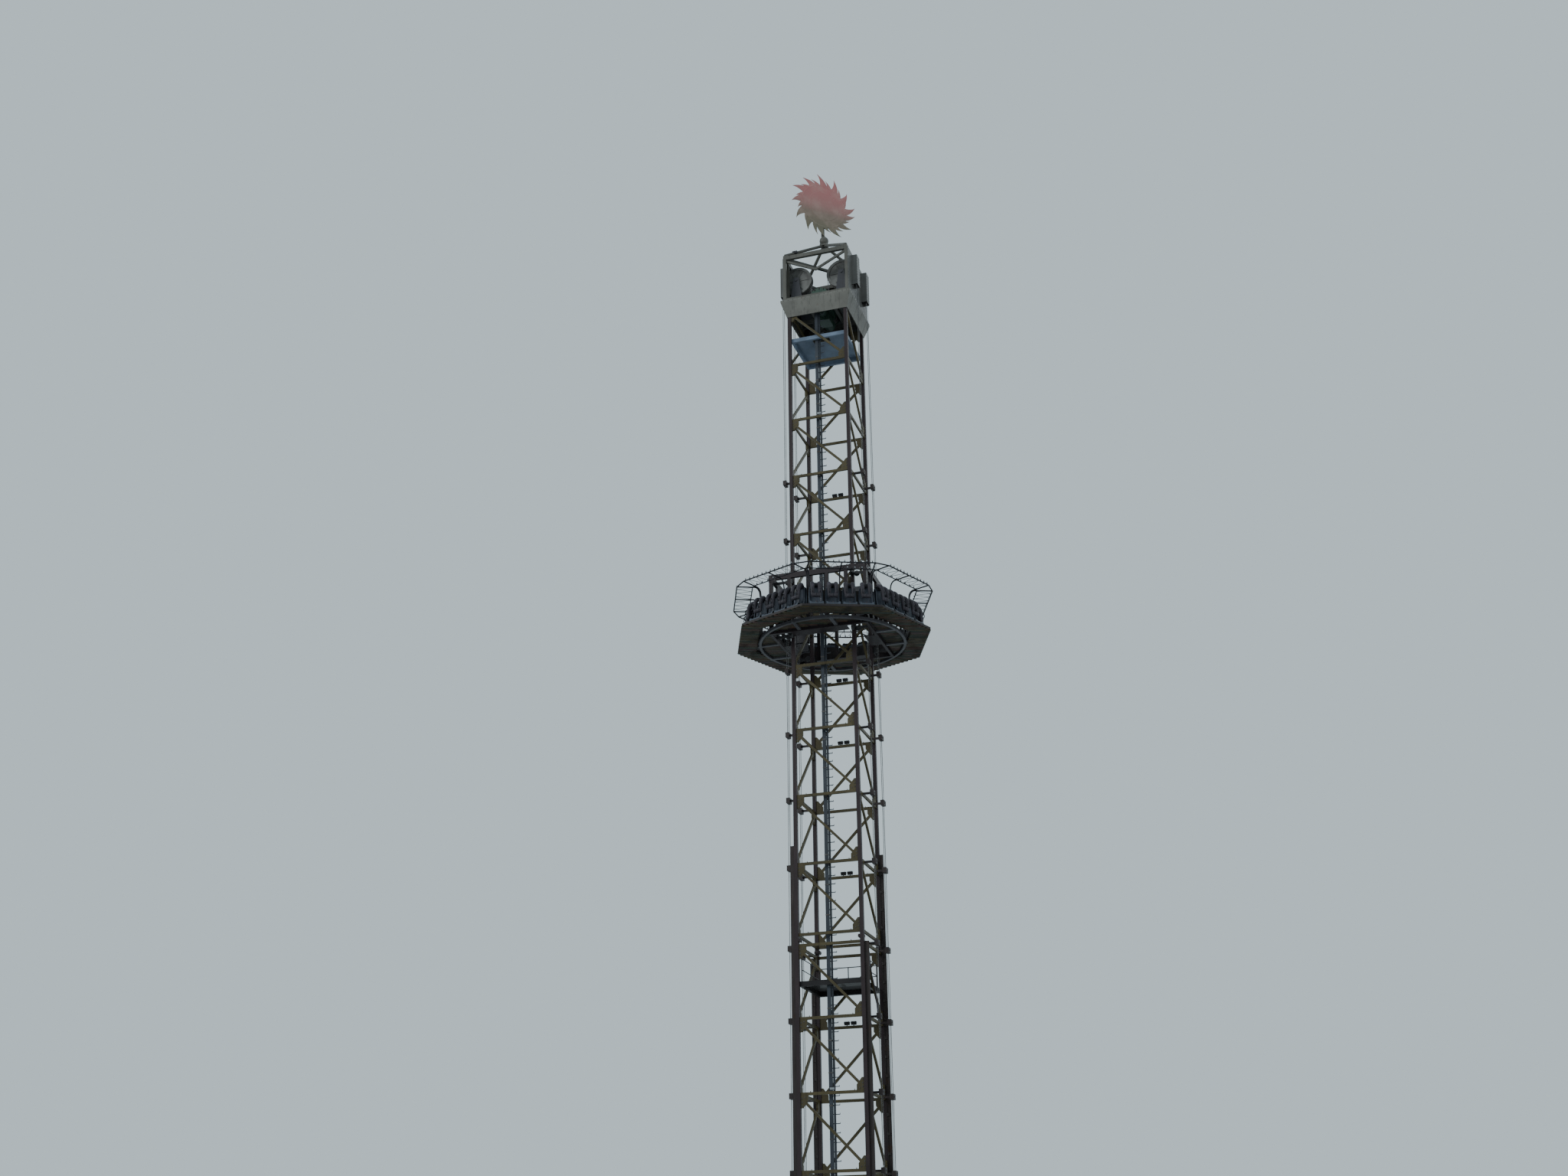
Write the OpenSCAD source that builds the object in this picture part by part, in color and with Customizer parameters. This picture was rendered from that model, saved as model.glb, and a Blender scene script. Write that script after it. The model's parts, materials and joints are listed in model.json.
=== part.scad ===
// Drop tower ride with a turning ring of seats, drawn at half its real size in millimetres.
// The origin is on the ground in the middle of the foot plate. Z points up and the front looks along -Y.

/* [Tower] */
// Distance between the centre lines of two columns
tower_w = 1100; // [900:10:1300]
// Width of a square column
column_w = 64; // [50:1:80]
// Height of the first bracing level over the ground
base_h = 500; // [420:10:700]
// Height of one bracing panel
panel_h = 1165; // [1000:5:1300]
// Height of the gap between two bolted tower sections
joint_gap = 175; // [140:5:240]
// Bracing panels in one tower section
panels = 5; // [3:1:6]
// Bolted sections in the tower
sections = 3; // [2:1:4]
// Height of a level bracing bar
bar_h = 46; // [30:1:60]
// Width of a sloping bracing bar
brace_w = 40; // [24:1:56]
// Thickness of the bracing bars
bar_t = 34; // [20:1:48]

/* [Base] */
// Reach of a ground beam from the middle
beam_reach = 1250; // [1000:10:1500]
// Width of a ground beam
beam_w = 120; // [80:5:160]
// Height of a ground beam
beam_h = 200; // [140:5:240]
// Thickness of the plates under the columns and on the ground
plate_t = 24; // [12:1:40]

/* [Brake fins] */
// Height of the fins on the front left and back right columns
fin_top_long = 7990; // [6600:10:9000]
// Height of the fins on the other two columns
fin_top_short = 6325; // [5000:10:6400]
// How far a fin stands out from its column
fin_reach = 70; // [40:1:90]
// Thickness of a fin
fin_t = 26; // [14:1:28]
// Height between two fin brackets
fin_pitch = 300; // [200:10:500]

/* [Ladder] */
// Distance of the ladder from the front bracing, middle to middle
ladder_in = 110; // [100:1:140]
// Width of the ladder over its pegs
ladder_w = 170; // [120:5:220]
// Height between two pegs
peg_pitch = 140; // [110:5:180]
// Width of the cable duct beside the ladder
duct_w = 60; // [40:1:64]

/* [Ropes] */
// Distance of the rope plane from the tower axis
rope_x = 735; // [720:1:760]
// Distance of a pair of ropes from the middle plane
rope_y = 330; // [300:5:360]
// Distance between the two ropes of a pair
rope_pair = 84; // [60:1:100]
// Rope radius
rope_r = 5; // [4:0.5:7]
// Radius of a sheave to the middle of its rope
sheave_r = 285; // [240:1:300]

/* [Head] */
// Height of the crown frame
crown_h = 1030; // [900:10:1200]
// Width of a crown post
crown_post = 58; // [46:1:64]
// Height of the apex of the crown legs over the crown
apex_h = 555; // [450:5:650]
// Radius of the ball on the apex
ball_r = 88; // [70:1:100]
// Radius of the sun to the tips of its long flames
sun_r = 745; // [600:5:800]
// Pairs of flames round the sun
sun_flames = 13; // [9:1:16]

/* [Gondola] */
// Half the width of the square carriage
carriage_half = 885; // [870:1:900]
// Height of the underside of the carriage in the photograph
carriage_z = 11680; // [9000:10:13000]
// Height of the carriage
carriage_h = 1120; // [1000:10:1200]
// Thickness of the carriage beams
carriage_t = 50; // [36:1:56]
// Radius of a guide roller
roller_r = 50; // [40:1:60]
// Distance of a side of the seat ring from the axis
ring_out = 1640; // [1625:1:1680]
// Distance of a seat back from the axis
back_in = 1335; // [1330:1:1345]
// Width of a seat
seat_w = 244; // [220:1:248]
// Height of a seat back over the ledge
seat_back = 380; // [340:5:420]
// Depth of a seat from its back to its front edge
seat_depth = 276; // [260:1:280]
// Height of the side bolsters of a seat over its middle
bolster_h = 30; // [15:1:36]
// Width of a side bolster
bolster_w = 22; // [16:1:30]
// Distance of a shoulder strap from the middle of its seat
strap_y = 58; // [50:1:70]
// Width of a shoulder strap
strap_w = 26; // [20:1:34]
// Distance of a side of the canopy rail from the axis
canopy_out = 1722; // [1690:1:1760]
// Depth of the canopy rail
canopy_in = 275; // [240:1:300]
// Height of the canopy rail over the underside of the carriage
canopy_h = 850; // [820:5:900]
// Radius of a canopy tube
tube_r = 12; // [9:0.5:14]

/* [Hidden] */

// Tower
half = tower_w / 2;
face_out = half + column_w / 2;
span = tower_w - column_w;
section_h = panels * panel_h + joint_gap;
levels = sections * (panels + 1);
function level(k) = base_h + floor(k / (panels + 1)) * section_h + (k % (panels + 1)) * panel_h;
tower_top = level(levels - 1);
skirt_h = 318;
crown_gap = 195;
crown_z = tower_top + crown_gap;
crown_half = face_out + crown_post;
crown_top = crown_z + crown_h;
ring_beam_h = 80;
seat_gap = 0.3;
column_foot = beam_h + plate_t;
beam_low = plate_t - 8;
anchor_top = beam_h + 104;

// Landings
landing_z = level(panels) - panel_h / 2;
head_floor_z = tower_top - panel_h / 2;
floor_t = 14;
edge_beam_h = 70;
edge_beam_t = 50;
hatch_w = 330;
hatch_in = 210;
ladder_y = -half + ladder_in;
stile_w = 30;
lamp_w = 92;
duct_front = ladder_y - 36;
bracket_w = 40;

// Head
bed_z = crown_z + ring_beam_h;
drum_r = rope_x - 2 * sheave_r - rope_r - seat_gap;
drum_z = bed_z + 60;
sheave_z = crown_z + 590;
sheave_x = rope_x - sheave_r;
axle_r = 25;
axle_clear = 0.05;
hub_r = 70;
pack_half = rope_pair / 2 + 22;
slot_r = sheave_r + 25;
stand_t = 28;
stand_y = pack_half + 5 + stand_t / 2;
bed_x = 230;
apex_z = crown_top + apex_h;
ball_z = apex_z + 70;
apex_top = ball_z - ball_r - 2;
leg_r = 30;
sun_z = ball_z + ball_r + sun_r + 6;
sun_back = 26;
disc_r = sun_r * 0.62;

// Gondola
carriage_top = carriage_z + carriage_h;
jaw_gap = 6;
jaw_t = 24;
track_in = 1254;
track_out = 1300;
track_z = carriage_z + 10;
track_t = 50;
arm_h = 40;
panel_z = carriage_z + 60;
panel_t = 18;
joist_z = panel_z + panel_t;
joist_h = 18;
frame_z = carriage_z + 100;
frame_h = 70;
deck_z = frame_z + frame_h;
web_in = 42;
ring_in = 1262;
inner_beam_w = 68;
outer_beam_w = 25;
outer_beam_h = 38;
seat_low = 74;
seat_z = joist_z + joist_h + seat_low;
seat_top = seat_z + seat_back;
wall_t = 9;
side_tan = tan(22.5);
row_slack = 3;
seat_pitch = floor((2 * back_in * side_tan - seat_w) / 3 - row_slack);
leg_foot = ring_in + 40;
canopy_z = carriage_z + canopy_h;
canopy_half = canopy_out * side_tan - 148;

// A straight round bar with n sides between two points
module bar(a, b, r, n = 8) {
  d = b - a;
  length = norm(d);
  translate(a) rotate([0, acos(d[2] / length), atan2(d[1], d[0])]) cylinder(h = length, r = r, $fn = n);
}

// A run of bars through a list of points
module bar_run(points, r, n = 8)
  for (i = [0 : len(points) - 2]) bar(points[i], points[i + 1], r, n);

// A box given by its lowest corner and its highest corner
module block(low, high) translate(low) cube(high - low);

// Puts a piece drawn at the front left corner on corner q, counted anticlockwise from above
module at_corner(q) rotate([0, 0, 90 * q]) children();

// Puts a piece drawn at the front on face q, counted anticlockwise from above
module at_face(q) rotate([0, 0, 90 * q]) children();

// Puts a piece drawn with X outwards on side i of the seat ring
module at_side(i) rotate([0, 0, 22.5 + 45 * i]) children();

// Ground beams under the columns, with pads at their ends and a foot plate in the middle
module base_frame() color("dimgray") {
  union() {
    for (s = [-1, 1]) {
      block([-beam_reach, s * half - beam_w / 2, beam_low], [beam_reach, s * half + beam_w / 2, beam_h]);
      block([s * half - beam_w / 2, -beam_reach, beam_low], [s * half + beam_w / 2, beam_reach, beam_h]);
      rotate([0, 0, 45 * s]) block([-half * 1.35, -beam_w / 3, beam_low + 30], [half * 1.35, beam_w / 3, beam_h - 30]);
      block([s * rope_x - 40, -half, beam_low], [s * rope_x + 40, half, beam_h]);
    }
    for (q = [0 : 3]) at_corner(q) {
      for (p = [[-beam_reach + 90, -half], [-half, -beam_reach + 90]])
        translate([p[0] - 120, p[1] - 120, 0]) cube([240, 240, plate_t]);
      translate([-half - 110, -half - 110, 0]) cube([220, 220, plate_t]);
    }
    translate([-160, -160, 0]) cube([320, 320, plate_t]);
    translate([-90, -90, 0]) cube([180, 180, beam_h - 15]);
  }
}

// Square column with its foot plate and the inward flanges of its section joints
module column(q) color("maroon") at_corner(q) {
  union() {
    block([-face_out, -face_out, column_foot], [-half + column_w / 2, -half + column_w / 2, crown_z + ring_beam_h]);
    translate([-half - 85, -half - 85, beam_h]) cube([170, 170, plate_t]);
    for (s = [1 : sections - 1]) {
      z = base_h + s * section_h - joint_gap / 2;
      for (side = [-1, 1])
        block([-face_out, -face_out, z + side * 9 - 8], [-half + column_w / 2 + 34, -half + column_w / 2 + 34, z + side * 9 + 8]);
    }
  }
}

// Brake fin on a bolted spine, on the side of its column
module brake_fin(q, top) color("darkslategray") {
  x_side = (q == 0 || q == 3) ? -1 : 1;
  y_side = (q == 0 || q == 1) ? -1 : 1;
  low = base_h + 100;
  inner = half - column_w / 2 + 2;
  union() {
    placed_block(x_side, y_side, [face_out, inner, low], [face_out + fin_reach, inner + fin_t, top]);
    placed_block(x_side, y_side, [face_out, inner - 14, low], [face_out + 12, inner + fin_t, top]);
    for (z = [low + fin_pitch / 2 : fin_pitch : top - 60])
      placed_block(x_side, y_side, [face_out, inner - 14, z - 22], [face_out + fin_reach * 0.75, inner, z + 22]);
  }
}

// A box in the quadrant that the two signs name
module placed_block(sx, sy, low, high)
  block([min(sx * low[0], sx * high[0]), min(sy * low[1], sy * high[1]), low[2]],
        [max(sx * low[0], sx * high[0]), max(sy * low[1], sy * high[1]), high[2]]);

// Outline of one face's bracing: level bars, one sloping bar a panel and the gussets at its ends
module bracing_outline() {
  s = span / 2;
  slope = atan((panel_h - bar_h) / span);
  tall = brace_w / cos(slope);
  for (k = [0 : levels - 1])
    translate([-s, level(k) - bar_h / 2]) square([span, bar_h]);
  for (k = [0 : levels - 2]) if (k % (panels + 1) != panels) {
    top = level(k + 1) - bar_h / 2;
    low = level(k) + bar_h / 2;
    polygon([[-s, top], [-s, top - tall], [s, low], [s, low + tall]]);
    polygon([[-s, top + 1], [-s, top - 190], [-s + 34, top - 190], [-s + 120, top - 80], [-s + 120, top + 1]]);
    polygon([[s, low - 1], [s, low + 190], [s - 34, low + 190], [s - 120, low + 80], [s - 120, low - 1]]);
  }
}

module bracing(q) color("goldenrod") at_face(q)
  translate([0, -half + bar_t / 2, 0]) rotate([90, 0, 0]) linear_extrude(bar_t) bracing_outline();

// Single pole ladder with pegs, held to the front bracing at each level
module ladder() color("slategray") {
  low = base_h + 60;
  high = tower_top - 60;
  union() {
    translate([-stile_w / 2, ladder_y - stile_w / 2, low]) cube([stile_w, stile_w, high - low]);
    for (z = [low + 40 : peg_pitch : high - 20])
      translate([-ladder_w / 2, ladder_y - 6, z - 6]) cube([ladder_w, 12, 12]);
    for (k = [1 : levels - 2])
      block([-bracket_w / 2, -half + bar_t / 2, level(k) - 14], [bracket_w / 2, ladder_y, level(k) + 14]);
  }
}

// Duct for the cables, fixed to the left of the ladder brackets and passing through both hatches
module cable_duct() color("slategray")
  block([-bracket_w / 2 - duct_w, duct_front, base_h + 60], [-bracket_w / 2, duct_front + 26, tower_top - 60]);

// Floor with a hatch for the ladder, on edge beams between the columns
module floor_deck(z) {
  s = half - column_w / 2;
  inner = s - edge_beam_t + 12;
  difference() {
    union() {
      block([-s, -s, z], [s, s, z + floor_t]);
      for (q = [0 : 3]) at_face(q)
        block([-s, -s - 12, z - edge_beam_h], [s, -inner, z + 1]);
    }
    block([-hatch_w / 2, duct_front - 3, z - edge_beam_h - 1], [hatch_w / 2, ladder_y + hatch_in, z + floor_t + 1]);
    for (q = [0 : 3]) at_corner(q) block([-half - 1, -half - 1, z - 100], [-s, -s, z + 100]);
  }
}

module landing_floor() color("midnightblue") floor_deck(landing_z);
module head_floor() color("midnightblue") floor_deck(head_floor_z);

// Two rails round three sides of the landing, between the columns
module landing_rails() color("darkolivegreen") {
  s = half - column_w / 2;
  rail_y = s - 20;
  z = landing_z + floor_t;
  for (q = [1 : 3]) at_face(q) union() {
    for (h = [190, 370]) bar([-rail_y + 9, -rail_y, z + h], [rail_y - 9, -rail_y, z + h], 8, 6);
    for (x = [-rail_y + 12, 0, rail_y - 12]) bar([x, -rail_y, z], [x, -rail_y, z + 376], 9, 6);
  }
}

// A floodlight with a sloping back, on a short post on the level bar k at distance x from the middle
module lamp(k, x) translate([x, -half, level(k) + bar_h / 2]) union() {
  block([-6, -9, 0], [6, 9, 30]);
  translate([-lamp_w / 2, 0, 48]) rotate([25, 0, 0]) rotate([90, 0, 90]) linear_extrude(lamp_w)
    polygon([[-22, -26], [-8, -26], [24, -12], [24, 10], [-8, 26], [-22, 26]]);
}

// Lamps on the level bars, in pairs on the back
module floodlights() color("dimgray") {
  for (k = [4, 7, 9, 10, 14]) for (x = [-58, 58]) at_face(2) lamp(k, x);
  for (k = [3, 15]) at_face(0) lamp(k, 0);
}

// Rope guide blocks on arms from the side bracing, open on their outer sides round each rope
module rope_guides() color("saddlebrown")
  for (sx = [0, 2]) at_face(sx + 1) for (k = [1 : levels - 4]) if (k % (panels + 1) != 0) for (s = [-1, 1])
    translate([s * rope_y, 0, level(k)]) union() {
      block([-17, -rope_x + 30, -17], [17, -half - bar_t / 2, 17]);
      translate([0, 0, -45]) linear_extrude(90) difference() {
        translate([-rope_pair / 2 - 23, -rope_x - 32]) square([rope_pair + 46, 64]);
        for (r = [-1, 1]) translate([r * rope_pair / 2 - rope_r - 6, -rope_x - 33])
          square([2 * rope_r + 12, 33 + rope_r + 6]);
      }
    }

// Places a rope drawn on the right at all its eight places
module at_ropes()
  for (side = [0, 1]) rotate([0, 0, 180 * side]) for (s = [-1, 1]) for (r = [-1, 1])
    translate([0, s * rope_y + r * rope_pair / 2, 0]) children();

// Ropes up the tower to their sheaves, from wedge sockets on the ground beams
module hoist_ropes() color("silver") at_ropes() union() {
  translate([rope_x, 0, anchor_top - 20]) cylinder(h = sheave_z - anchor_top + 20, r = rope_r, $fn = 24);
  block([rope_x - 16, -16, beam_h], [rope_x + 16, 16, anchor_top]);
}

// The same ropes over their sheaves and down to the drum
module drum_ropes() color("silver") at_ropes() union() {
  translate([sheave_x, 0, sheave_z]) rotate([90, 0, 0])
    rotate_extrude(angle = 180, $fn = 96) translate([sheave_r, 0]) circle(r = rope_r, $fn = 24);
  translate([sheave_x - sheave_r, 0, drum_z]) cylinder(h = sheave_z - drum_z, r = rope_r, $fn = 24);
}

// Square frame of the crown, with the beams under the winch and the sheave stands
module crown_frame() color("olive") {
  low = crown_z;
  union() {
    for (q = [0 : 3]) at_face(q) {
      block([-crown_half, -crown_half, low], [crown_half, -face_out, bed_z]);
      block([-crown_half, -crown_half, crown_top - ring_beam_h], [crown_half, -face_out, crown_top]);
      block([-crown_half, -crown_half, low], [-face_out, -face_out, crown_top]);
    }
    for (q = [1, 3]) at_face(q) for (s = [-1, 1]) translate([s * (rope_y + stand_y + 24), 0, 0])
      block([-16, -crown_half, low], [16, -face_out, crown_top]);
    for (s = [-1, 1]) {
      block([s * bed_x - 30, -face_out - 1, low], [s * bed_x + 30, face_out + 1, bed_z]);
      for (y = [-rope_y - stand_y, -rope_y + stand_y, rope_y - stand_y, rope_y + stand_y])
        block([min(s * bed_x, s * (face_out + 1)), y - stand_t / 2, low], [max(s * bed_x, s * (face_out + 1)), y + stand_t / 2, bed_z]);
    }
  }
}

// Level diagonal across the crown and the sloping braces of its front and back
module crown_braces() color("olive") {
  z = crown_top - ring_beam_h;
  s = face_out;
  intersection() {
    rotate([0, 0, 45]) block([-2 * s, -20, z + 10], [2 * s, 20, z + 60]);
    block([-s, -s, z], [s, s, crown_top]);
  }
  for (q = [0, 2]) at_face(q) translate([0, -s, 0]) rotate([90, 0, 0]) linear_extrude(30) {
    polygon([[-s, z], [-s, z - 50], [0, z - 340], [0, z - 290]]);
    polygon([[s, z], [s, z - 50], [0, z - 340], [0, z - 290]]);
  }
}

// Four legs from the crown corners to the apex plate
module crown_legs() color("olive") {
  s = crown_half - 30;
  union() {
    for (q = [0 : 3]) at_corner(q) {
      bar([-s, -s, crown_top + 30], [-20, -20, apex_top - 27], leg_r, 6);
      block([-crown_half, -crown_half, crown_top], [-crown_half + 100, -crown_half + 100, crown_top + 14]);
    }
    translate([-70, -70, apex_top - 40]) cube([140, 140, 40]);
  }
}

// Sloping skirt under the crown, with its lip
module crown_skirt() color("gold") {
  lip = crown_half + 47;
  difference() {
    union() {
      translate([0, 0, crown_z - 25]) linear_extrude(40) square(2 * lip, center = true);
      hull() {
        translate([0, 0, crown_z - 26]) linear_extrude(2) square(2 * lip, center = true);
        translate([0, 0, crown_z - skirt_h]) linear_extrude(2) square(2 * face_out + 20, center = true);
      }
    }
    hull() {
      translate([0, 0, crown_z - 24]) linear_extrude(100) square(2 * crown_half, center = true);
      translate([0, 0, crown_z - skirt_h - 1]) linear_extrude(2) square(2 * face_out, center = true);
    }
  }
}

// Sheet panels round the crown, slotted where the sheaves pass
module crown_panels() color("olive") {
  t = 8;
  low = crown_z + ring_beam_h + 4;
  high = crown_top - ring_beam_h - 4;
  at_face(2) block([-crown_half + 6, -crown_half - t, low - 40], [crown_half - 6, -crown_half, high + 40]);
  for (q = [1, 3]) at_face(q) translate([0, -crown_half, 0]) rotate([90, 0, 0]) linear_extrude(t) difference() {
    translate([-crown_half + 6, low - 40]) square([2 * crown_half - 12, high - low + 80]);
    for (s = [-1, 1]) translate([s * rope_y - pack_half - 10, sheave_z - slot_r]) square([2 * pack_half + 20, 2 * slot_r]);
  }
}

// Sheet boxes over the sheaves outside the side panels, open below for the ropes
module sheave_guards() color("olive") {
  wide = pack_half + 26;
  out = rope_x + 32;
  t = 5;
  low = sheave_z - slot_r - 10;
  high = sheave_z + slot_r + 20;
  for (q = [1, 3]) at_face(q) for (s = [-1, 1]) translate([s * rope_y, 0, 0]) difference() {
    block([-wide, -out, low], [wide, -crown_half - 8, high]);
    block([-wide + t, -out + t, low - 1], [wide - t, -crown_half, high - t]);
  }
}

// Rope drum on its bed, with gearbox and motor
module winch() color("darkgreen") {
  y_end = rope_y + pack_half + 20;
  union() {
    translate([0, y_end, drum_z]) rotate([90, 0, 0]) cylinder(h = 2 * y_end, r = drum_r, $fn = 64);
    for (s = [-1, 1]) {
      translate([0, s * (y_end - 8) + 8, drum_z]) rotate([90, 0, 0]) cylinder(h = 16, r = drum_r + 30, $fn = 64);
      translate([0, s * (y_end + 30) + 15, drum_z]) rotate([90, 0, 0]) linear_extrude(30)
        polygon([[-240, bed_z - drum_z], [240, bed_z - drum_z], [90, 60], [-90, 60]]);
      translate([0, s * (y_end + 30) + 31, drum_z]) rotate([90, 0, 0]) cylinder(h = 62, r = 60, $fn = 48);
    }
    block([-260, -y_end - 60, bed_z], [260, y_end + 60, bed_z + 16]);
    block([-110, -140, bed_z - 300], [110, 140, bed_z + 8]);
    translate([0, 140, bed_z - 170]) rotate([-90, 0, 0]) cylinder(h = 200, r = 95, $fn = 48);
    translate([0, -300, bed_z - 170]) rotate([-90, 0, 0]) cylinder(h = 160, r = 80, $fn = 48);
  }
}

// Bearing stands and axles of the sheaves
module sheave_mounts() color("gray")
  for (sx = [-1, 1]) for (sy = [-1, 1]) translate([sx * sheave_x, sy * rope_y, 0]) union() {
    for (side = [-1, 1]) translate([0, side * stand_y + stand_t / 2, 0]) rotate([90, 0, 0]) linear_extrude(stand_t)
      polygon([[-126, bed_z], [126, bed_z], [60, sheave_z - 20], [56, sheave_z + 40], [34, sheave_z + 60],
               [-34, sheave_z + 60], [-56, sheave_z + 40], [-60, sheave_z - 20]]);
    translate([0, stand_y + stand_t, sheave_z]) rotate([90, 0, 0])
      cylinder(h = 2 * stand_y + 2 * stand_t, r = axle_r, $fn = 48);
  }

// Half outline of one grooved disc of a sheave at width y, from its hub out to the rim and back
function disc_outline(y) = let (bottom = sheave_r - rope_r - seat_gap, rim = sheave_r + 14) [
  [hub_r, y - 6], [bottom - 34, y - 6], [bottom - 34, y - 18], [rim, y - 18], [rim, y - 12], [bottom, y - 6],
  [bottom, y + 6], [rim, y + 12], [rim, y + 18], [bottom - 34, y + 18], [bottom - 34, y + 6], [hub_r, y + 6]];

// Two-groove sheave turning on its axle
module sheave(sx, sy) color("dimgray") translate([sx * sheave_x, sy * rope_y, sheave_z]) rotate([90, 0, 0])
  union() {
    rotate_extrude($fn = 96) polygon(concat(
      [[axle_r + axle_clear, -pack_half], [hub_r, -pack_half]],
      disc_outline(-rope_pair / 2), disc_outline(rope_pair / 2),
      [[hub_r, pack_half], [axle_r + axle_clear, pack_half]]));
    for (a = [0 : 60 : 300]) rotate([0, 0, a]) block([hub_r - 2, -5, -pack_half + 4], [sheave_r - 60, 5, pack_half - 4]);
  }

// Short mast with a ball, and the post behind the sun
module finial_mast() color("olive") union() {
  translate([0, 0, apex_top]) cylinder(h = ball_z - apex_top - 20, r = 34, $fn = 32);
  translate([0, 0, ball_z]) sphere(r = ball_r, $fn = 48);
  rotate([0, 0, 45]) block([-30, sun_back, ball_z], [30, sun_back + 30, sun_z - 120]);
}

// Outline of a flame that leans to one side, at angle a, with its tip at radius r
function flame(a, r) = let (step = 180 / sun_flames, mid = disc_r + (r - disc_r) * 0.55) [
  [disc_r * cos(a - step * 0.62), disc_r * sin(a - step * 0.62)],
  [mid * cos(a - step * 0.2), mid * sin(a - step * 0.2)],
  [r * cos(a + step * 0.55), r * sin(a + step * 0.55)],
  [mid * cos(a + step * 0.5), mid * sin(a + step * 0.5)],
  [disc_r * cos(a + step * 0.6), disc_r * sin(a + step * 0.6)]];

// Flat sun with two sizes of leaning flames round a raised disc
module sun() color("orangered") translate([0, 0, sun_z]) rotate([90, 0, 45]) union() {
  translate([0, 0, -14]) linear_extrude(28) union() {
    circle(r = disc_r + 4, $fn = 96);
    for (i = [0 : sun_flames - 1]) {
      polygon(flame(i * 360 / sun_flames + 10, sun_r));
      polygon(flame((i + 0.5) * 360 / sun_flames + 10, sun_r * 0.86));
    }
  }
  translate([0, 0, -sun_back]) cylinder(h = 2 * sun_back, r = disc_r * 0.72, $fn = 96);
}

// One side of the square carriage
module carriage_side(q) color("black") at_face(q) {
  inner = carriage_half - carriage_t;
  reach = (q % 2 == 0) ? carriage_half : inner;
  z = carriage_z;
  top = carriage_top;
  translate([0, -inner, 0]) rotate([90, 0, 0]) linear_extrude(carriage_t) {
    translate([-reach, z]) square([2 * reach, 80]);
    translate([-reach, top - 100]) square([2 * reach, 100]);
    for (n = [0 : 5]) translate([-reach + n * (2 * reach - 60) / 5, z]) square([60, top - z]);
  }
}

// A roller on the front face of a column at X = at, on a stub axle from a cheek plate at X = cheek
module roller(at, wide, cheek) {
  inner = carriage_half - carriage_t;
  out = face_out + seat_gap + roller_r;
  union() {
    translate([at - wide / 2, -out, 0]) rotate([0, 90, 0]) cylinder(h = wide, r = roller_r, $fn = 48);
    translate([at, -out, 0]) rotate([0, 90, 0]) cylinder(h = cheek - at + 4, r = 12, $fn = 32);
    block([cheek, -inner, -26], [cheek + 10, -out + 26, 26]);
  }
}

// Guide rollers running on the outer faces of the columns, clear of the brake fins
module guide_rollers() color("darkgray")
  for (z = [carriage_z + 40, carriage_top - 50]) translate([0, 0, z]) for (m = [0, 1]) {
    for (q = [0, 2]) at_face(q) mirror([m, 0, 0]) roller(half, 36, half + 26);
    for (q = [1, 3]) at_face(q) mirror([m, 0, 0]) roller(half + 17, 24, half + 36);
  }

// Two rows of brake magnets on a back plate at each corner, astride the fins of the columns
module brake_magnets() color("darkgray") {
  inner = carriage_half - carriage_t;
  fin_low = half - column_w / 2 + 2;
  jaw_low = fin_low - 14 - jaw_gap - jaw_t;
  jaw_high = fin_low + fin_t + jaw_gap;
  for (x_side = [-1, 1]) for (y_side = [-1, 1]) union() {
    placed_block(x_side, y_side, [inner - 12, jaw_low - 4, carriage_z + 60],
                 [inner, jaw_high + jaw_t + 4, carriage_top - 90]);
    for (y = [jaw_low, jaw_high]) for (z = [carriage_z + 160 : 170 : carriage_top - 400])
      placed_block(x_side, y_side, [face_out + 18, y, z], [inner - 10, y + jaw_t, z + 150]);
  }
}

// Round track on eight arms, on which the seat ring turns
module slew_track() color("gray") {
  union() {
    translate([0, 0, track_z]) rotate_extrude($fn = 128) translate([track_in, 0]) square([track_out - track_in, track_t]);
    for (q = [0 : 3]) at_face(q) for (s = [-1, 1])
      block([s * 330 - 30, -track_in - 16, track_z], [s * 330 + 30, -carriage_half, track_z + arm_h]);
  }
}

// Round floor on the arms of the track, and foot plates inside the carriage between the ropes and the rollers
module carriage_floor() color("black") {
  inner = carriage_half - carriage_t;
  translate([0, 0, track_z + arm_h]) linear_extrude(8) difference() {
    circle(r = track_in - 1, $fn = 128);
    square(2 * carriage_half + 12, center = true);
  }
  for (q = [0 : 3]) at_face(q) {
    wide = (q % 2 == 0) ? half - 50 : rope_y - rope_pair / 2 - 53;
    block([-wide, -inner, carriage_z + 6], [wide, -face_out - 58, carriage_z + 16]);
  }
}

// Eight-sided ring outline between two distances from the axis
module ring_outline(inner, outer) difference() {
  circle(r = outer / cos(22.5), $fn = 8);
  circle(r = inner / cos(22.5), $fn = 8);
}

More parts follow.
